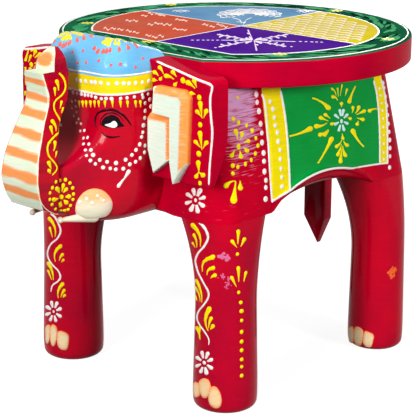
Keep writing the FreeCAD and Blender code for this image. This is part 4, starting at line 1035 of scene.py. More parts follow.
def trunk_rings(shares, at, corner_share):
    """Level outlines of the trunk at those shares of the table's height."""
    width, front, back = smooth_through(shares[:, 0], shares[:, 1:], at).T
    half = trunk_half_width * width
    front = trunk_front_y + front * trunk_thickness
    back = trunk_front_y + back * trunk_thickness
    corner = np.minimum(half, (back - front) / 2) * corner_share
    return rounded_rings(-half, half, front, back, [corner, 2 * corner, 2 * corner, corner], 6, 12)


def trunk_rows():
    """Rings up the stem, in over the ledge, and up the lip. The underside rises
    towards the front, and that slope dies out on the way up. Where the stem stands
    against the muzzle, it's cut flat."""
    up = np.linspace(0, 1, 70)
    stem = at_heights(trunk_rings(trunk_shares, up, 0.16),
                      trunk_root_height + up * (trunk_ledge_height - trunk_root_height))
    forward = np.clip((muzzle_y - stem[..., 1]) / (muzzle_y - trunk_front_y), 0, 1)
    fade = np.clip(1 - up / 0.3, 0, 1)[:, None]
    stem[..., 2] += underside_lift * forward * fade
    against = stem[..., 2] < muzzle_top_height
    stem[..., 1] = np.where(against, np.minimum(stem[..., 1], muzzle_y), stem[..., 1])
    up = np.linspace(0, 1, 24)
    lip = at_heights(trunk_rings(lip_shares, up, 0.3),
                     trunk_ledge_height + up * (trunk_tip_height - trunk_ledge_height))
    ledge = stem[-1] + (lip[0] - stem[-1]) * np.linspace(0, 1, 5)[1:-1, None, None]
    return np.concatenate([stem, ledge, lip])


# the bands' middles on the front, as pixels, and how far they reach up and down
band_middles = [(36, 81.5), (40, 98), (33, 112.5), (26, 133), (20, 153.5), (19, 175), (21, 192)]
band_reach = (2.4, 2.9, 3.4, 3.6, 3.5, 4.4, 3.6)
band_slope = 0.05
front_start, front_end = 59, 5
lip_spot_height = 307.5
lip_spot_reach = (9, 5.5)


def trunk_second(rows):
    """The orange bands' share: it falls from one on the band's middle to a half at
    its reach, which wavers. The bands sink to the stool's left by band_slope."""
    middles = traced(band_middles, "trunk_carving")
    share = np.zeros(rows.shape[:2])
    for k, (middle, reach) in enumerate(zip(middles, band_reach)):
        away = np.abs(rows[..., 2] - middle[2] + band_slope * (rows[..., 0] - middle[0]))
        unsteady = reach * (1 + 0.1 * np.sin(rows[..., 0] / 5 + 2.3 * k))
        share = np.maximum(share, np.clip(1.25 - 0.75 * away / unsteady, 0, 1))
    # on the lip the orange is a spot between two pale edges
    away = np.hypot(rows[..., 0] / lip_spot_reach[0], (rows[..., 2] - lip_spot_height) / lip_spot_reach[1])
    return np.where(rows[..., 2] > trunk_ledge_height + 0.1, np.clip(1.5 - away, 0, 1), share)


rows = trunk_rows()
# the front's paint starts in the ring's last corner and ends in its first one
fronts = np.zeros((rows.shape[0] - 1, rows.shape[1]), int)
fronts[:, front_start:] = 1
fronts[:, :front_end] = 1
carving = make_piece("trunk_carving", rows, [polished_crimson, trunk_front], ["trunk"],
                     40, fronts)
share_second(carving, with_ends(trunk_second(rows)))

on_trunk, on_muzzle = ("trunk_carving",), ("trunk_carving", "head_carving")
trunk_vine = [
    (59, 73), (62.8, 77), (65.3, 83), (65.3, 89), (62, 95), (56.2, 100), (54, 105), (55, 111), (59, 118),
    (61.5, 124), (60, 131), (54, 137), (49, 143), (47.5, 149), (49, 156), (54, 162), (57, 167), (56, 171),
    (52, 175.5)]
trunk_leaves = [
    ((58.5, 90.5), (57, 81.6), 2.2, 0.05), ((55.2, 96), (54.8, 88.6), 1.6),
    ((60, 108.5), (61.6, 101.8), 1.4), ((61.4, 113), (63.2, 108.4), 1.3),
    ((56, 131), (52.6, 121.4), 2.2, 0.12), ((52.6, 134.5), (51, 127.4), 2.0),
    ((53.5, 151), (55, 142.4), 1.9, 0.08), ((55.4, 157.5), (56.7, 152.4), 1.3),
    ((51.2, 169), (49, 163), 2.3), ((50.4, 173.6), (49.4, 171), 2.2)]
rosette_drops = [
    ((59.4, 193.2), (57.6, 189.2), 2.8), ((61.8, 191.8), (63.2, 185.4), 2.2),
    ((63.4, 192.6), (66.2, 189.4), 2.2), ((65.2, 197), (68.6, 196.6), 2.6),
    ((63.8, 199.8), (66, 202.2), 2.6), ((61, 201), (60, 204.8), 2.6), ((58.4, 198.6), (54.4, 199.6), 2.6)]
rosette_dots = [
    (59.5, 180.5), (65.5, 179.8), (70, 183), (72.7, 188), (73.5, 194), (73, 199.5), (70.5, 205.5),
    (68, 209.5), (64.5, 210.5), (60.5, 210.5), (55.5, 209), (52, 204.5), (50, 199.5), (50, 193),
    (52.5, 187.8), (56, 182)]
trunk_edge = [
    (41.8, 73), (43.6, 79), (46, 86), (48, 99), (46.9, 112), (43.8, 126), (41, 143), (38.6, 158), (37.5, 173),
    (37.8, 189), (40, 200), (45, 208), (52, 213), (60, 215), (68, 215.4)]
brushwork("trunk_vine", [line(trunk_vine, (2.4, 1.7, 1.6, 1.8, 2.2, 1.8, 1.3), *on_trunk)]
          + drops(trunk_leaves, *on_trunk), yellow)
brushwork("trunk_rosette", drops(rosette_drops, *on_muzzle)
          + dots([(61.2, 197)], 2.0, *on_muzzle) + dots(rosette_dots, 1.6, *on_muzzle), yellow)
brushwork("trunk_edges", [line(trunk_edge, (1.3, 1.2, 1.3, 1.5, 1.2, 1.0, 0.9), *on_trunk)], cream)


# The tusks: short stubs under the muzzle, each growing from a rounded swelling on
# the cheek, planted with glue.
tusk_root = np.array([29, -209, 175.5])
tusk_tip = np.array([17, -235.3, 175.5])
tusk_radius = 5
tusk_bead = 2.7
tusk_bead_back = 2
tusk_bead_length = 4.6
swelling_centre = np.array([29, -209, 186])
swelling_radii = (9, 17, 15)
swelling_turn = math.radians(-29)
swelling_cut = 10.5
swelling_orange = (181, 18)
tusk_cream = enamel("tusk_cream_enamel", (238, 228, 202), (222, 220, 190), (252, 178, 120), waver=0.8,
                    ragged=0.6)


def swelling_rows():
    """A stretched ball, cut flat below: rings from its lowest to its highest point."""
    turn = np.linspace(0, math.pi, 22)[1:-1, None]
    around = np.linspace(0, 2 * math.pi, 40, endpoint=False)[None, :]
    x = swelling_radii[0] * np.sin(turn) * np.cos(around)
    y = swelling_radii[1] * np.sin(turn) * np.sin(around)
    z = np.maximum(-swelling_radii[2] * np.cos(turn), -swelling_cut) + 0 * around
    c, s = math.cos(swelling_turn), math.sin(swelling_turn)
    return np.stack([c * x - s * y, s * x + c * y, z], axis=-1) + swelling_centre


def stub_rows():
    """A tapering round stub with a bead at its end: rings along its axis."""
    axis = tusk_tip - tusk_root
    length = np.linalg.norm(axis)
    axis = axis / length
    side = np.cross(axis, [0, 0, 1])
    lift = np.cross(side, axis)
    turn = np.linspace(0, math.pi / 2, 6)
    taper = np.linspace(0, 1, 16)[1:]
    bead = np.linspace(0, tusk_bead_length, 10) - tusk_bead_back
    along = np.concatenate([
        -tusk_radius * np.cos(turn), (length - tusk_bead_back - 0.4) * taper, length + bead])
    radius = np.concatenate([
        tusk_radius * np.sin(turn), tusk_radius + (0.7 * tusk_bead - tusk_radius) * taper,
        tusk_bead * np.sqrt(np.clip(1 - (bead / tusk_bead) ** 2, 0.01, 1))])
    around = np.linspace(0, 2 * math.pi, 24, endpoint=False)
    ring = np.cos(around)[:, None] * side + np.sin(around)[:, None] * lift
    return tusk_root + along[:, None, None] * axis + radius[:, None, None] * ring[None]


rows = swelling_rows()
# the orange sets in at that height and thickens over that rise
orange = np.clip((rows[..., 2] - swelling_orange[0]) / swelling_orange[1], 0, 0.75)
make_pair("tusk_%s_swelling", rows, [tusk_cream], "tusk_%s", second=orange)
make_pair("tusk_%s_stub", stub_rows()[:, ::-1], [tusk_cream], "tusk_%s")
brushwork("tusk_dots", dots([(86.6, 198.8), (97.6, 195.8), (79.6, 201.6), (92, 203), (103.6, 200.4)], 1.4,
                            "tusk_left_swelling"), white)


# The ears: flat slabs glued to the body's front beside the head, their front
# edges softened, their lower ends thinned. A white line follows top and side.
ear_face_y = -158
ear_span = 114
ear_top_height = 304
ear_shoulder_height = 294
ear_base_height = 204
ear_side_heights = (296, 280)
ear_free_height = 244
ear_free_x = 93
ear_free_fade = 3
ear_thin_edge = 4
ear_edge = 2
ear_hidden_edge = 0.3
ear_corner_radii = [1, 3, 7, 1.5, 1, 1]


def rounded_outline(corners, radii, arc=6, straight=10):
    """A closed outline through corners, each cut short by its radius and bridged
    by a parabola that starts and ends along the two sides."""
    corners = np.asarray(corners, float)
    before, after = np.roll(corners, 1, axis=0), np.roll(corners, -1, axis=0)

    def towards(other):
        """Unit directions from the corners to their neighbours."""
        way = other - corners
        return way / np.linalg.norm(way, axis=1, keepdims=True)

    cut = np.asarray(radii, float)[:, None]
    start, end = corners + towards(before) * cut, corners + towards(after) * cut
    t = np.linspace(0, 1, arc + 1)[None, :, None]
    bends = (1 - t) ** 2 * start[:, None] + 2 * t * (1 - t) * corners[:, None] + t ** 2 * end[:, None]
    t = np.linspace(0, 1, straight + 1)[None, 1:-1, None]
    sides = end[:, None] + (np.roll(start, -1, axis=0) - end)[:, None] * t
    return np.concatenate([bends, sides], axis=1).reshape(-1, 2)


def moved_in(corners, distances):
    """Corners of the outline with each side moved inwards by its distance."""
    corners = np.asarray(corners, float)
    way = np.roll(corners, -1, axis=0) - corners
    way /= np.linalg.norm(way, axis=1, keepdims=True)
    inward = np.column_stack([-way[:, 1], way[:, 0]])
    level = (corners * inward).sum(axis=1) + np.asarray(distances, float)
    previous_in, previous_level = np.roll(inward, 1, axis=0), np.roll(level, 1)
    det = previous_in[:, 0] * inward[:, 1] - previous_in[:, 1] * inward[:, 0]
    x = (previous_level * inward[:, 1] - level * previous_in[:, 1]) / det
    z = (previous_in[:, 0] * level - inward[:, 0] * previous_level) / det
    return np.column_stack([x, z])


def upright(outline, y):
    """An outline of x and height, stood up at that y: one value, or one a point."""
    return np.column_stack([outline[:, 0], np.broadcast_to(y, len(outline)), outline[:, 1]])


def head_side_at(heights):
    """Half width of the head beside the ears' faces."""
    within = np.clip(heights, jaw_height, dome_height)
    inset, _, _, pinch = smooth_through(head_levels[:, 0], head_levels[:, 1:], within).T
    return cheek(np.full(len(heights), float(chord_y - ear_face_y)), inset, pinch)


def ear_rows():
    """Rings from the ear's back to its front: the back lies on the body, and its
    free lower part slopes forward to the lower edge."""
    heights = np.array([ear_base_height, ear_top_height, *ear_side_heights])
    inner = np.column_stack([head_side_at(heights), heights]).tolist()
    corners = inner[:1] + [(ear_span, ear_base_height), (ear_span, ear_shoulder_height)] + inner[1:]
    outer = rounded_outline(corners, ear_corner_radii)
    rounding = np.array([ear_edge] * 3 + [ear_hidden_edge] * 3)

    def back_at(outline):
        """Where the back is: on the board's edge line, or forward of it low down
        by the power 1.4 of the way, on the side away from the head."""
        down = (ear_free_height - outline[:, 1]) / (ear_free_height - ear_base_height)
        slope = np.clip(down, 0, 1) ** 1.4
        free = np.clip((outline[:, 0] - ear_free_x + ear_free_fade) / (2 * ear_free_fade), 0, 1)
        return chord_y + (ear_face_y + ear_thin_edge - chord_y) * slope * free

    rows = [upright(outer, back_at(outer))]
    for share in np.linspace(0, 1, 8)[1:]:
        rows.append(upright(outer, back_at(outer) + (ear_face_y + ear_edge - back_at(outer)) * share))
    for turn in np.linspace(0, math.pi / 2, 6)[1:]:
        ring = rounded_outline(moved_in(corners, rounding * (1 - math.cos(turn))), ear_corner_radii)
        rows.append(upright(ring, ear_face_y + ear_edge * (1 - math.sin(turn))))
    last = rows[-1]
    middle = last.mean(axis=0)
    for share in (0.98, 0.8, 0.6, 0.4, 0.2):
        rows.append(middle + (last - middle) * share)
    return np.stack(rows)


make_pair("ear_%s_slab", ear_rows(), [satin_crimson], "ear_%s", 50)

on_ear = ("ear_left_slab",)
ear_drops = [
    # tail, head, half width and the bend, if there is one
    ((163.6, 74), (159.7, 67.6), 2.5, 0.05), ((174, 79.4), (166.4, 76), 2.9, 0.1),
    ((176.6, 76.8), (173, 72.3), 2.8), ((162, 76.6), (160.6, 78.8), 2.2),
    ((177.4, 82), (175.2, 84.4), 2.5), ((195, 88.4), (188.2, 82.7), 3.3, 0.03),
    ((196.6, 87.6), (194.3, 80.9), 2.8), ((195.4, 94.2), (191.6, 93.5), 2.9),
    ((158.4, 76), (154.6, 72.4), 2.6, 0.1), ((157.6, 80.6), (154, 80), 2.6),
    ((202, 118.4), (200.2, 103.6), 3.0), ((201.5, 117), (197.2, 111.7), 2.6),
    ((203.7, 118), (206.1, 111.2), 2.8), ((201.9, 149.8), (200, 133.4), 3.0),
    ((200.6, 147.7), (195.6, 142), 2.6), ((202.8, 148.6), (206.2, 142.9), 2.8),
    ((199, 173.6), (198.2, 163), 3.0), ((198.6, 172), (196.4, 176.2), 2.8),
    ((199.6, 172.6), (202.6, 174.9), 3.2)]
ear_line = [
    (156.7, 61.3), (177.5, 70.4), (196.7, 79.2), (210.6, 84.8), (212, 89.2), (210.4, 96.7), (210.2, 106.7),
    (211.3, 120.8), (212.3, 130), (212, 140), (210.8, 154.2), (209.6, 166.7), (208.8, 185)]
ear_line_widths = (2.6, 2.6, 2.6, 3.0, 2.4, 2.4, 2.6, 2.5, 2.2, 2.2, 1.9)
ear_dots = [(182.9, 80.4), (199.2, 97.5), (200.2, 124.8), (198.8, 153.9), (200, 183.3)]
brushwork("ear_lines", [line(ear_line, ear_line_widths, *on_ear)], white)
brushwork("ear_drops", drops(ear_drops, *on_ear, scale=0.92, power=1.7)
          + dots(ear_dots, 2.4, *on_ear), yellow)
far_ear_drops = [
    ((28.6, 49.4), (25.6, 60), 1.5), ((28.6, 62), (30.6, 56), 1.4), ((25.6, 84.6), (25.4, 68), 1.1),
    ((25, 95.4), (25.2, 92), 1.2), ((36, 48.4), (31.6, 50.6), 1.2)]
brushwork("ear_right_drops", drops(far_ear_drops, "ear_right_slab", point=0.4), yellow, both_sides=False)


# The ear folds: two thin carvings planted on each ear, cream with orange bevels
# on the top and the outer side.
fold_bevel = 4.5
fold_plain_bevel = 0.7
fold_corner = 0.8
fold_sink = 1.0
fold_reliefs = {"outer": 9, "inner": 6}
# corners as x and height, and whether the side that starts there is bevelled
outer_fold = [(55.7, 261, 0), (75.5, 260, 0), (75.5, 222, 0), (79.2, 204, 0),
              (91.8, 223, 1), (94.1, 278, 1), (88.4, 284, 1), (57.6, 284, 0)]
inner_fold = [(45.6, 260, 0), (47.3, 230, 0), (54.2, 209, 0), (75.0, 225, 1), (75.0, 260, 1)]
fold_cream = enamel("fold_cream_enamel", (230, 248, 230), (218, 236, 224), (252, 156, 76), waver=0.8,
                    ragged=0.8)


def along_sides(values, arc=6, straight=10):
    """One value a side, for the points of rounded_outline: it stays the same along
    a side, and changes evenly round a corner."""
    values = np.asarray(values, float)
    before = np.roll(values, 1)[:, None]
    bends = before + (values[:, None] - before) * np.linspace(0, 1, arc + 1)
    return np.concatenate([bends, np.repeat(values[:, None], straight - 1, axis=1)], axis=1).ravel()


def fold_rows(corners, relief):
    """Rings from the ear's face outwards: straight sides, then the bevels, which
    are as deep as they are wide, then bands of the flat face."""
    flat = [(x, z) for x, z, bevelled in corners]
    bevels = np.array([fold_bevel if bevelled else fold_plain_bevel for x, z, bevelled in corners])
    soft = np.full(len(flat), fold_corner)
    outer = rounded_outline(flat, soft)
    inner = rounded_outline(moved_in(flat, bevels), soft)
    depth = along_sides(bevels)
    face = ear_face_y - relief
    rows = [upright(outer, ear_face_y + fold_sink), upright(outer, face + fold_bevel)]
    rows.append(upright(outer, face + depth))
    for share in (0.5, 1.0):
        ring = outer + (inner - outer) * share
        rows.append(upright(ring, face + depth * (1 - share)))
    wide = np.where(bevels > 1, fold_bevel, 0.5)
    for further in (1.2, 2.4, 4.0):
        ring = rounded_outline(moved_in(flat, bevels + wide * further / fold_bevel), soft)
        rows.append(upright(ring, face))
    brushed = along_sides((bevels > 1).astype(float))
    shares = np.array([0.9, 0.85, 0.8, 0.75, 0.7, 0.48, 0.2, 0])[:, None] * brushed
    return np.stack(rows), shares


for name, corners in (("outer", outer_fold), ("inner", inner_fold)):
    rows, orange = fold_rows(corners, fold_reliefs[name])
    make_pair("ear_fold_" + name + "_%s_carving", rows, [fold_cream],
              "ear_fold_" + name + "_%s", 25, None, True, orange)


# The board: a disc of wood with a straight front edge and a softened rim, screwed
# down under filled and painted plugs. Its top is painted in four fields inside a
# leafy green border.
board_radius = 160
board_top_height = 305
board_rim = 2.5
board_lower_rim = 1.2
board_paint_depth = 1.4
board_green = enamel("board_green_enamel", (20, 84, 54), (38, 122, 82), waver=0.9, shine=0.0)


def board_outline(radius, front):
    """The disc's outline with its straight front, counter-clockwise from above."""
    half = math.acos(-front / radius)
    angle = np.linspace(half - math.pi / 2, 1.5 * math.pi - half, 180)
    disc = np.column_stack([radius * np.cos(angle), radius * np.sin(angle)])
    straight = disc[-1] + (disc[0] - disc[-1]) * np.linspace(0, 1, 50)[1:-1, None]
    return np.concatenate([disc, straight])


def board_rows():
    """Rings from under the board's middle, out, round both rims and over the top."""
    rows = []
    for share in (0.2, 0.5, 0.8, 0.97):
        rows.append((board_outline(board_radius, chord_y) * share, body_top_height))
    for turn in np.linspace(0, math.pi / 2, 4):
        inset = board_lower_rim * (1 - math.sin(turn))
        rows.append((board_outline(board_radius - inset, chord_y + inset),
                     body_top_height + board_lower_rim * (1 - math.cos(turn))))
    low, high = body_top_height + board_lower_rim, board_top_height - board_rim
    for share in np.linspace(0, 1, 6)[1:-1]:
        rows.append((board_outline(board_radius, chord_y), low + share * (high - low)))
    for turn in np.linspace(0, math.pi / 2, 7):
        inset = board_rim * (1 - math.cos(turn))
        rows.append((board_outline(board_radius - inset, chord_y + inset),
                     board_top_height - board_rim * (1 - math.sin(turn))))
    for share in (0.97, 0.8, 0.6, 0.4, 0.2):
        rows.append((board_outline(board_radius - board_rim, chord_y + board_rim) * share, board_top_height))
    return np.stack([np.column_stack([outline, np.full(len(outline), z)]) for outline, z in rows])


rows = board_rows()
tops = (rows[:-1, :, 2] > board_top_height - board_paint_depth).astype(int)
make_piece("seat_board", rows, [satin_crimson, board_green], ["seat_top"], 50, tops)

ring_radius = 130
ring_front = -99.5
fields_cross = np.array([-4.0, 13.0])
outer_line_inset = 3.7
coat = 0.15
coat_sink = 0.4
rust = enamel("rust_enamel", (214, 88, 62), (200, 100, 78), waver=1.0, shine=0.0)
steel_blue = enamel("steel_blue_enamel", (96, 148, 190), (122, 166, 200), waver=1.0, shine=0.0)
mustard = enamel("mustard_enamel", (228, 206, 36), (218, 202, 86), waver=1.0, shine=0.0)
indigo = enamel("indigo_enamel", (78, 30, 146), (96, 46, 152), waver=1.0, shine=0.0)
leaf_green = enamel("leaf_green_enamel", (88, 182, 124), (50, 148, 96), waver=1.0, shine=0.0)
leaf_dark = enamel("leaf_dark_enamel", (10, 44, 30), (16, 60, 40), waver=1.0, shine=0.0)


def on_top(xy, height=board_top_height):
    """Points of x and y, lifted to that height."""
    return np.column_stack([xy, np.full(len(xy), float(height))])


def board_mark(path, widths, height=0.4, spacing=3.0):
    """A line of paint on the board's top along a path of x and y, in mm."""
    xy = smooth_path(path, spacing)
    way = np.gradient(xy, axis=0)
    way /= np.linalg.norm(way, axis=1, keepdims=True)
    full = spread(widths, len(xy)) * (1 + 0.06 * hand.standard_normal(len(xy)))
    beside = np.column_stack([-way[:, 1], way[:, 0]]) * full[:, None] / 2
    return ridge(on_top(xy), (on_top(xy - beside), on_top(xy + beside)), np.array([[0, 0, 1.0]]), height)


# the ring round the fields, with a point added between every two
ends = board_outline(ring_radius, ring_front)
ring = np.stack([ends[:-1], (ends[:-1] + ends[1:]) / 2], axis=1).reshape(-1, 2)
ring = np.concatenate([ring, ends[-1:]])
for name, paint, sign_x, sign_y in (("indigo", indigo, 1, -1), ("mustard", mustard, 1, 1),
                                    ("blue", steel_blue, -1, 1), ("rust", rust, -1, -1)):
    inside = ring[((ring - fields_cross) * (sign_x, sign_y) > 0).all(axis=1)]
    angle = np.arctan2(*(inside - fields_cross).T[::-1])
    inside = inside[np.argsort(np.mod(angle - math.atan2(sign_y, sign_x) + math.pi, 2 * math.pi))]
    outline = np.concatenate([[fields_cross], inside])
    field = np.stack([on_top(outline, board_top_height + rise) for rise in (-coat_sink, coat)])
    make_piece("seat_field_" + name, field, [paint], (), 30, None, True)


on_board = ("seat_board",)
rim_line = board_outline(board_radius - outer_line_inset, chord_y + outer_line_inset)
rim_line_widths = (1.5, 2.2, 1.3, 2.1, 1.6, 2.2, 1.4, 1.9, 1.5)
cross_x, cross_y = fields_cross
across, along = (math.sqrt(ring_radius ** 2 - offset ** 2) - 1 for offset in (cross_y, cross_x))
white_lines = [
    board_mark(np.concatenate([ring, ring[:2]]), 2.0, spacing=9),
    board_mark(np.concatenate([rim_line, rim_line[:2]]), rim_line_widths, spacing=9),
    board_mark([(-across, cross_y - 1), (across, cross_y + 1)], 1.5),
    board_mark([(cross_x + 1, ring_front), (cross_x - 1, along)], 1.5)]

# little rose-white squiggles on the rust field
squiggle_places = [
    (107, 29), (113.5, 28.4), (120.5, 29.6), (129, 20.6), (135.4, 20.9), (144.5, 15.8), (151, 13.6),
    (158, 14.6), (163, 15.4), (150.5, 24.6), (157, 23.6), (163, 24.4), (168.5, 24.6), (179, 19.8),
    (185, 20.8), (176.6, 29.4), (183.6, 30), (129.2, 31.2), (136, 32.4), (148, 35.6), (154.6, 37.2),
    (161.4, 36.2), (206, 24.8), (212.4, 26.6), (219, 25), (224.6, 26.4)]
squiggles = []
for x, y in squiggle_places:
    bends = [(x + way * hand.uniform(0.8, 1.3), y + rise * hand.uniform(0.4, 1.3))
             for way, rise in ((-3.2, 0.4), (-1.2, -1.1), (0.8, 1.0), (2.9, -0.5))]
    squiggles.append(line(bends, (1.0, 1.9, 1.1, 1.9, 1.0), *on_board))
# a leafy star between rows of dots on the indigo field
star_middle = (253.3, 40.4)
star = [
    ((252.6, 39.4), (248.2, 30.6), 0.9), ((250.4, 34.6), (247.6, 33.4), 0.8),
    ((254, 40.4), (256.4, 49.6), 1.2), ((254.4, 44.4), (257.6, 45), 0.9), ((252.6, 40), (250, 37.6), 1.3),
    ((254.6, 40.6), (257.4, 39.4), 1.3), ((252, 40.2), (246.6, 38.8), 1.6),
    ((247, 40.2), (240.8, 40), 1.3), ((252, 41.2), (246.6, 42.6), 1.4),
    ((254.8, 40.2), (260.4, 38.8), 1.6), ((260, 40.2), (266.6, 40), 1.3),
    ((254.8, 41.4), (260.8, 42.8), 1.4)]
for end in ((216.8, 34.6), (218.4, 47.1), (288.6, 34.4), (286.4, 46.6)):
    arm = np.subtract(end, star_middle)
    star.append((star_middle + 0.1 * arm, star_middle + 0.98 * arm, 0.6))
    for share in (0.4, 0.6, 0.8):
        for sideways in (-1, 1):
            at = star_middle + share * arm
            star.append((at, at + [0.12 * arm[0], sideways * 1.2], 0.8))
star_dots = [(x, 40.3) for x in (192.4, 198, 203.3, 208, 212.7, 217.6)] + [
    (x, 40.8 + (x - 270) * 0.03) for x in (300.4, 306, 311.8, 316.7, 321.6)] + [(215.6, 47.8), (291.5, 46.8)]
star_lines = [line([(221, 40.3), (240, 40.4)], 0.8, *on_board),
              line([(268, 40.8), (296, 41.8)], 0.8, *on_board)]
# a fan like a tree's crown on the blue field, with a small motif on each side
fan_middle = np.array([249.3, 14.6])
fan = []
for share in (1.0, 0.8, 0.6, 0.4, 0.22):
    turn = np.linspace(-0.22 * math.pi, 1.22 * math.pi, 22)
    wave = 1 + 0.06 * np.cos(np.arange(22) * math.pi)
    curl = np.column_stack([31 * np.cos(turn), -5.4 * np.sin(turn)]) * (share * wave)[:, None]
    fan.append(line(fan_middle + curl, 0.9, *on_board))
for turn in np.linspace(-0.1, math.pi + 0.1, 17):
    way = np.array([math.cos(turn), -math.sin(turn)])
    fan.append(line([fan_middle + way * (7, 1.3), fan_middle + way * (30, 5.2)], 0.6, *on_board))
fan += [line([(232, 17.6), (240, 20.4), (241.6, 25)], 0.8, *on_board),
        line([(252, 17.4), (246, 20.4), (243, 25.2)], 0.8, *on_board),
        line([(236, 21.8), (246, 22.6)], 0.7, *on_board)]
for place in ((181, 11.4), (304.5, 11.7)):
    for bends in ([(-9, 0.2), (-4.6, -1), (0, 0.9), (4.6, -1), (9, 0.2)], [(-6, 1), (0, -1.2), (6, 1)]):
        fan.append(line(np.add(place, bends), 0.7, *on_board))
# rows of scales on the mustard field, each an arch, every other row half a scale on
scale_start = (4, 19)
scale_step = (13, 10)
scale_arch = (5.2, 4.4)
scale_reach = ring_radius - 4
scales = []
for row, y in enumerate(np.arange(scale_start[1], scale_reach, scale_step[1])):
    first_x = scale_start[0] + scale_step[0] / 2 * (row % 2)
    for x in np.arange(first_x, scale_reach, scale_step[0]):
        if math.hypot(x + 5, y + 6) < scale_reach:
            turn = np.linspace(0, math.pi, 7)
            arch = np.column_stack([x + scale_arch[0] * np.cos(turn), y + scale_arch[1] * np.sin(turn)])
            scales.append(board_mark(arch, (2.6, 4.2, 2.6), spacing=2.4))
brushwork("seat_white_lines", white_lines + fan, white, False)
lilac_white = enamel("lilac_white_enamel", (244, 226, 246), (226, 204, 236), shine=0.0)
brushwork("seat_star", drops(star, *on_board, point=0.4)
          + dots(star_dots, 1.6, *on_board, height=0.4) + star_lines, lilac_white, False)
rose_white = enamel("rose_white_enamel", (255, 222, 208), (248, 204, 190), shine=0.0)
brushwork("seat_squiggles", squiggles, rose_white, False)
scale_pink = enamel("scale_pink_enamel", (248, 236, 228), (240, 222, 206), waver=0.8, shine=0.0)
brushwork("seat_scales", scales, scale_pink, False)

# the border's leaves: short bent strokes, light and dark, that follow it round
leaf_count = 210
leaf_insets = (9, 3.5)
outer = board_outline(board_radius - leaf_insets[0], chord_y + leaf_insets[0])
inner = board_outline(ring_radius + leaf_insets[1], ring_front - leaf_insets[1])
light_leaves, dark_leaves = [], []
for k in range(leaf_count):
    at, across = hand.uniform(0, len(outer)), hand.uniform(0.06, 0.94)
    span = hand.uniform(3, 6.4) * (1 if hand.random() < 0.5 else -1)
    ends = []
    for here in (at, at + span):
        i = int(here) % len(outer)
        ends.append(inner[i] + (outer[i] - inner[i]) * np.clip(across + 0.07 * (here - at), 0.02, 0.98))
    middle = (ends[0] + ends[1]) / 2 + hand.uniform(-2.4, 2.4, 2)
    leaf = board_mark([ends[0], middle, ends[1]], (1.0, 4.8, 4.0, 0.8), 0.22)
    (light_leaves if k % 3 else dark_leaves).append(leaf)
brushwork("seat_light_leaves", light_leaves, leaf_green, False)
brushwork("seat_dark_leaves", dark_leaves, leaf_dark, False)
flower_places = [(87.5, 23.1), (170.9, 4.4), (388.4, 39.1), (336.9, 10.7), (280.1, 54.1), (148.8, 41.7)]
border_flowers = []
for centre in traced(flower_places, *on_board)[:, :2]:
    for turn in np.arange(6) * math.pi / 3 + 0.3:
        petal = centre + np.outer((1.5, 4, 6.2), (math.cos(turn), math.sin(turn)))
        border_flowers.append(board_mark(petal, (2.0, 4.2, 2.4), spacing=1.5))
brushwork("seat_border_flowers", border_flowers, lemon, False)


# The tail: a flat slab glued to the rump, its lower end cut to a bevelled point
# that stands clear of the body.
tail_half_width = 13
tail_thickness = 12
tail_top_height = 226
tail_point_height = 102
tail_tip_height = 74
tail_edge = 0.8
tail_top_corner = 7


def rump_at(height):
    """How far back the leaning rump is at that height."""
    lean = (body_bottom["rear"] - body_top["rear"]) / (body_top_height - leg_joint_height)
    return body_bottom["rear"] - np.clip(height - leg_joint_height, 0, None) * lean


def tail_rows():
    """Rings from the rump outwards: the outline is a strip with a pointed end, and
    the inner face is cut away towards the point."""
    right, left = tail_half_width, -tail_half_width
    corners = [(right, tail_top_height), (left, tail_top_height), (left, tail_point_height),
               (0, tail_tip_height), (right, tail_point_height)]
    sharp = [tail_edge] * 3
    outline = rounded_outline(corners, [tail_top_corner] * 2 + sharp, 6, 16)
    small = rounded_outline(moved_in(corners, [tail_edge] * 5), [tail_top_corner - 0.5] * 2 + sharp, 6, 16)

    def inner_at(ring):
        """The inner face: on the rump, and half the thickness off it at the tip."""
        past = (tail_point_height - ring[:, 1]) / (tail_point_height - tail_tip_height)
        return rump_at(ring[:, 1]) + tail_thickness / 2 * np.clip(past, 0, 1)

    def outer_at(ring):
        """The outer face: a thickness behind the rump."""
        return rump_at(ring[:, 1]) + tail_thickness

    return np.stack([
        upright(small, inner_at(small)), upright(outline, inner_at(outline) + tail_edge),
        upright(outline, inner_at(outline) + tail_thickness / 3),
        upright(outline, outer_at(outline) - tail_edge),
        upright(small, outer_at(small))])


make_piece("tail_slab", tail_rows(), [crimson], ["tail"], 35)


# The hidden joinery: turned pegs of pale hardwood in every glued joint, and
# countersunk steel screws under round plugs in the board.
peg_wood = bpy.data.materials.new("peg_wood")
peg_wood.use_nodes = True
tree = peg_wood.node_tree
shader = tree.nodes["Principled BSDF"]
where = add(tree, "ShaderNodeTexCoord").outputs["Object"]
grain = add(tree, "ShaderNodeTexNoise", {
    "Vector": add(tree, "ShaderNodeMapping", {"Vector": where, "Scale": (900, 900, 60)}).outputs[0],
    "Scale": 1.0, "Detail": 4.0})
tone = add(tree, "ShaderNodeMix", {
    0: grain.outputs["Fac"], 6: linear((196, 158, 108)), 7: linear((150, 108, 66))}, data_type="RGBA")
link(tree, tone.outputs[2], shader.inputs["Base Color"])
ridges = add(tree, "ShaderNodeBump", {"Height": grain.outputs["Fac"], "Strength": 0.4, "Distance": 0.0002})
link(tree, ridges.outputs[0], shader.inputs["Normal"])
shader.inputs["Roughness"].default_value = 0.62

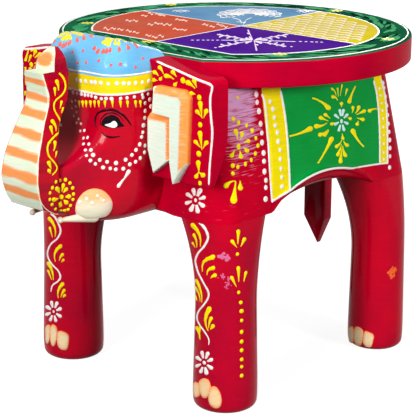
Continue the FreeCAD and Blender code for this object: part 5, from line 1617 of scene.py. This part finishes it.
screw_steel = bpy.data.materials.new("screw_steel")
screw_steel.use_nodes = True
tree = screw_steel.node_tree
shader = tree.nodes["Principled BSDF"]
where = add(tree, "ShaderNodeTexCoord").outputs["Object"]
wear = add(tree, "ShaderNodeTexNoise", {"Vector": where, "Scale": 900.0, "Detail": 3.0})
rough = add(tree, "ShaderNodeMapRange", {"Value": wear.outputs["Fac"], "To Min": 0.25, "To Max": 0.5})
link(tree, rough.outputs[0], shader.inputs["Roughness"])
shader.inputs["Base Color"].default_value = linear((176, 178, 182))
shader.inputs["Metallic"].default_value = 1.0

for name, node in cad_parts.items():
    for word, finish in (("dowel", peg_wood), ("plug", peg_wood), ("screw", screw_steel)):
        if word in name:
            node.data.materials.clear()
            node.data.materials.append(finish)


# The studio: a white surround and a pale floor that keeps the stool's shadow and
# turns to the surround's white further out, with small bright lamps.
floor_reach = 6
floor_seen, floor_lighting = (0.9, 0.9, 0.9, 1), (0.08, 0.08, 0.08, 1)
floor_glow = 1.24
surround_white = (1, 1, 1, 1)
surround_light = 0.13
floor_corners = np.array([(-1, -1, 0), (1, -1, 0), (1, 1, 0), (-1, 1, 0)]) * floor_reach
floor_mesh = bpy.data.meshes.new("floor")
floor_mesh.from_pydata(floor_corners.tolist(), [], [(0, 1, 2, 3)])
floor = bpy.data.objects.new("floor", floor_mesh)
bpy.context.scene.collection.objects.link(floor)


def seen_directly(tree):
    """One for the rays that show the surround itself, nought for those that light."""
    path = add(tree, "ShaderNodeLightPath")
    seen = add(tree, "ShaderNodeMath", {0: path.outputs["Is Camera Ray"], 1: path.outputs["Is Glossy Ray"]},
               operation="MAXIMUM")
    return add(tree, "ShaderNodeMath", {0: seen.outputs[0], 1: path.outputs["Is Transmission Ray"]},
               operation="MAXIMUM").outputs[0]


pale = bpy.data.materials.new("pale_floor")
pale.use_nodes = True
tree = pale.node_tree
tree.nodes.clear()
tone = add(tree, "ShaderNodeMix", {
    0: seen_directly(tree), 6: floor_lighting, 7: floor_seen}, data_type="RGBA")
matt = add(tree, "ShaderNodeBsdfDiffuse", {"Color": tone.outputs[2]})
glow = add(tree, "ShaderNodeEmission", {"Color": surround_white, "Strength": floor_glow})
where = add(tree, "ShaderNodeTexCoord").outputs["Object"]
away = add(tree, "ShaderNodeVectorMath", {0: where}, operation="LENGTH").outputs["Value"]
out_there = add(tree, "ShaderNodeMapRange", {
    "Value": away, "From Min": 0.2, "From Max": 0.6, "To Min": 0.74, "To Max": 1.0},
    interpolation_type="SMOOTHSTEP")
share = add(tree, "ShaderNodeMath", {0: out_there.outputs[0], 1: seen_directly(tree)}, operation="MULTIPLY")
both = add(tree, "ShaderNodeMixShader", {0: share.outputs[0], 1: matt.outputs[0], 2: glow.outputs[0]})
link(tree, both.outputs[0], add(tree, "ShaderNodeOutputMaterial").inputs["Surface"])
floor_mesh.materials.append(pale)

surround = bpy.data.worlds.new("surround")
bpy.context.scene.world = surround
surround.use_nodes = True
tree = surround.node_tree
tree.nodes.clear()
lit = add(tree, "ShaderNodeBackground", {"Color": surround_white, "Strength": surround_light})
shown = add(tree, "ShaderNodeBackground", {"Color": surround_white, "Strength": 1.0})
either = add(tree, "ShaderNodeMixShader", {0: seen_directly(tree), 1: lit.outputs[0], 2: shown.outputs[0]})
link(tree, either.outputs[0], add(tree, "ShaderNodeOutputWorld").inputs["Surface"])

stool_middle = (0, 0, 0.17)
lamps = {
    # name: (place, width, length, watts), all aimed at the stool's middle
    "key_lamp": ((0.5, -2.0, 0.75), 0.5, 0.5, 26),
    "strip_lamp": ((0.23, -1.39, 1.73), 0.04, 1.8, 19),
    "top_lamp": ((0.3, 0.2, 2.3), 0.6, 0.6, 13),
    "side_lamp": ((2.1, 0.1, 0.8), 0.4, 0.4, 26),
    "back_lamp": ((-1.3, 2.2, 0.5), 0.6, 0.6, 14),
}
for name, (place, width, length, watts) in lamps.items():
    lamp = bpy.data.objects.new(name, bpy.data.lights.new(name, "AREA"))
    lamp.data.shape = "RECTANGLE"
    lamp.data.size = width
    lamp.data.size_y = length
    lamp.data.energy = watts
    aim = Vector(stool_middle) - Vector(place)
    lamp.matrix_world = Matrix.Translation(place) @ aim.to_track_quat("-Z", "Y").to_matrix().to_4x4()
    bpy.context.scene.collection.objects.link(lamp)

bpy.context.scene.view_settings.view_transform = "Standard"
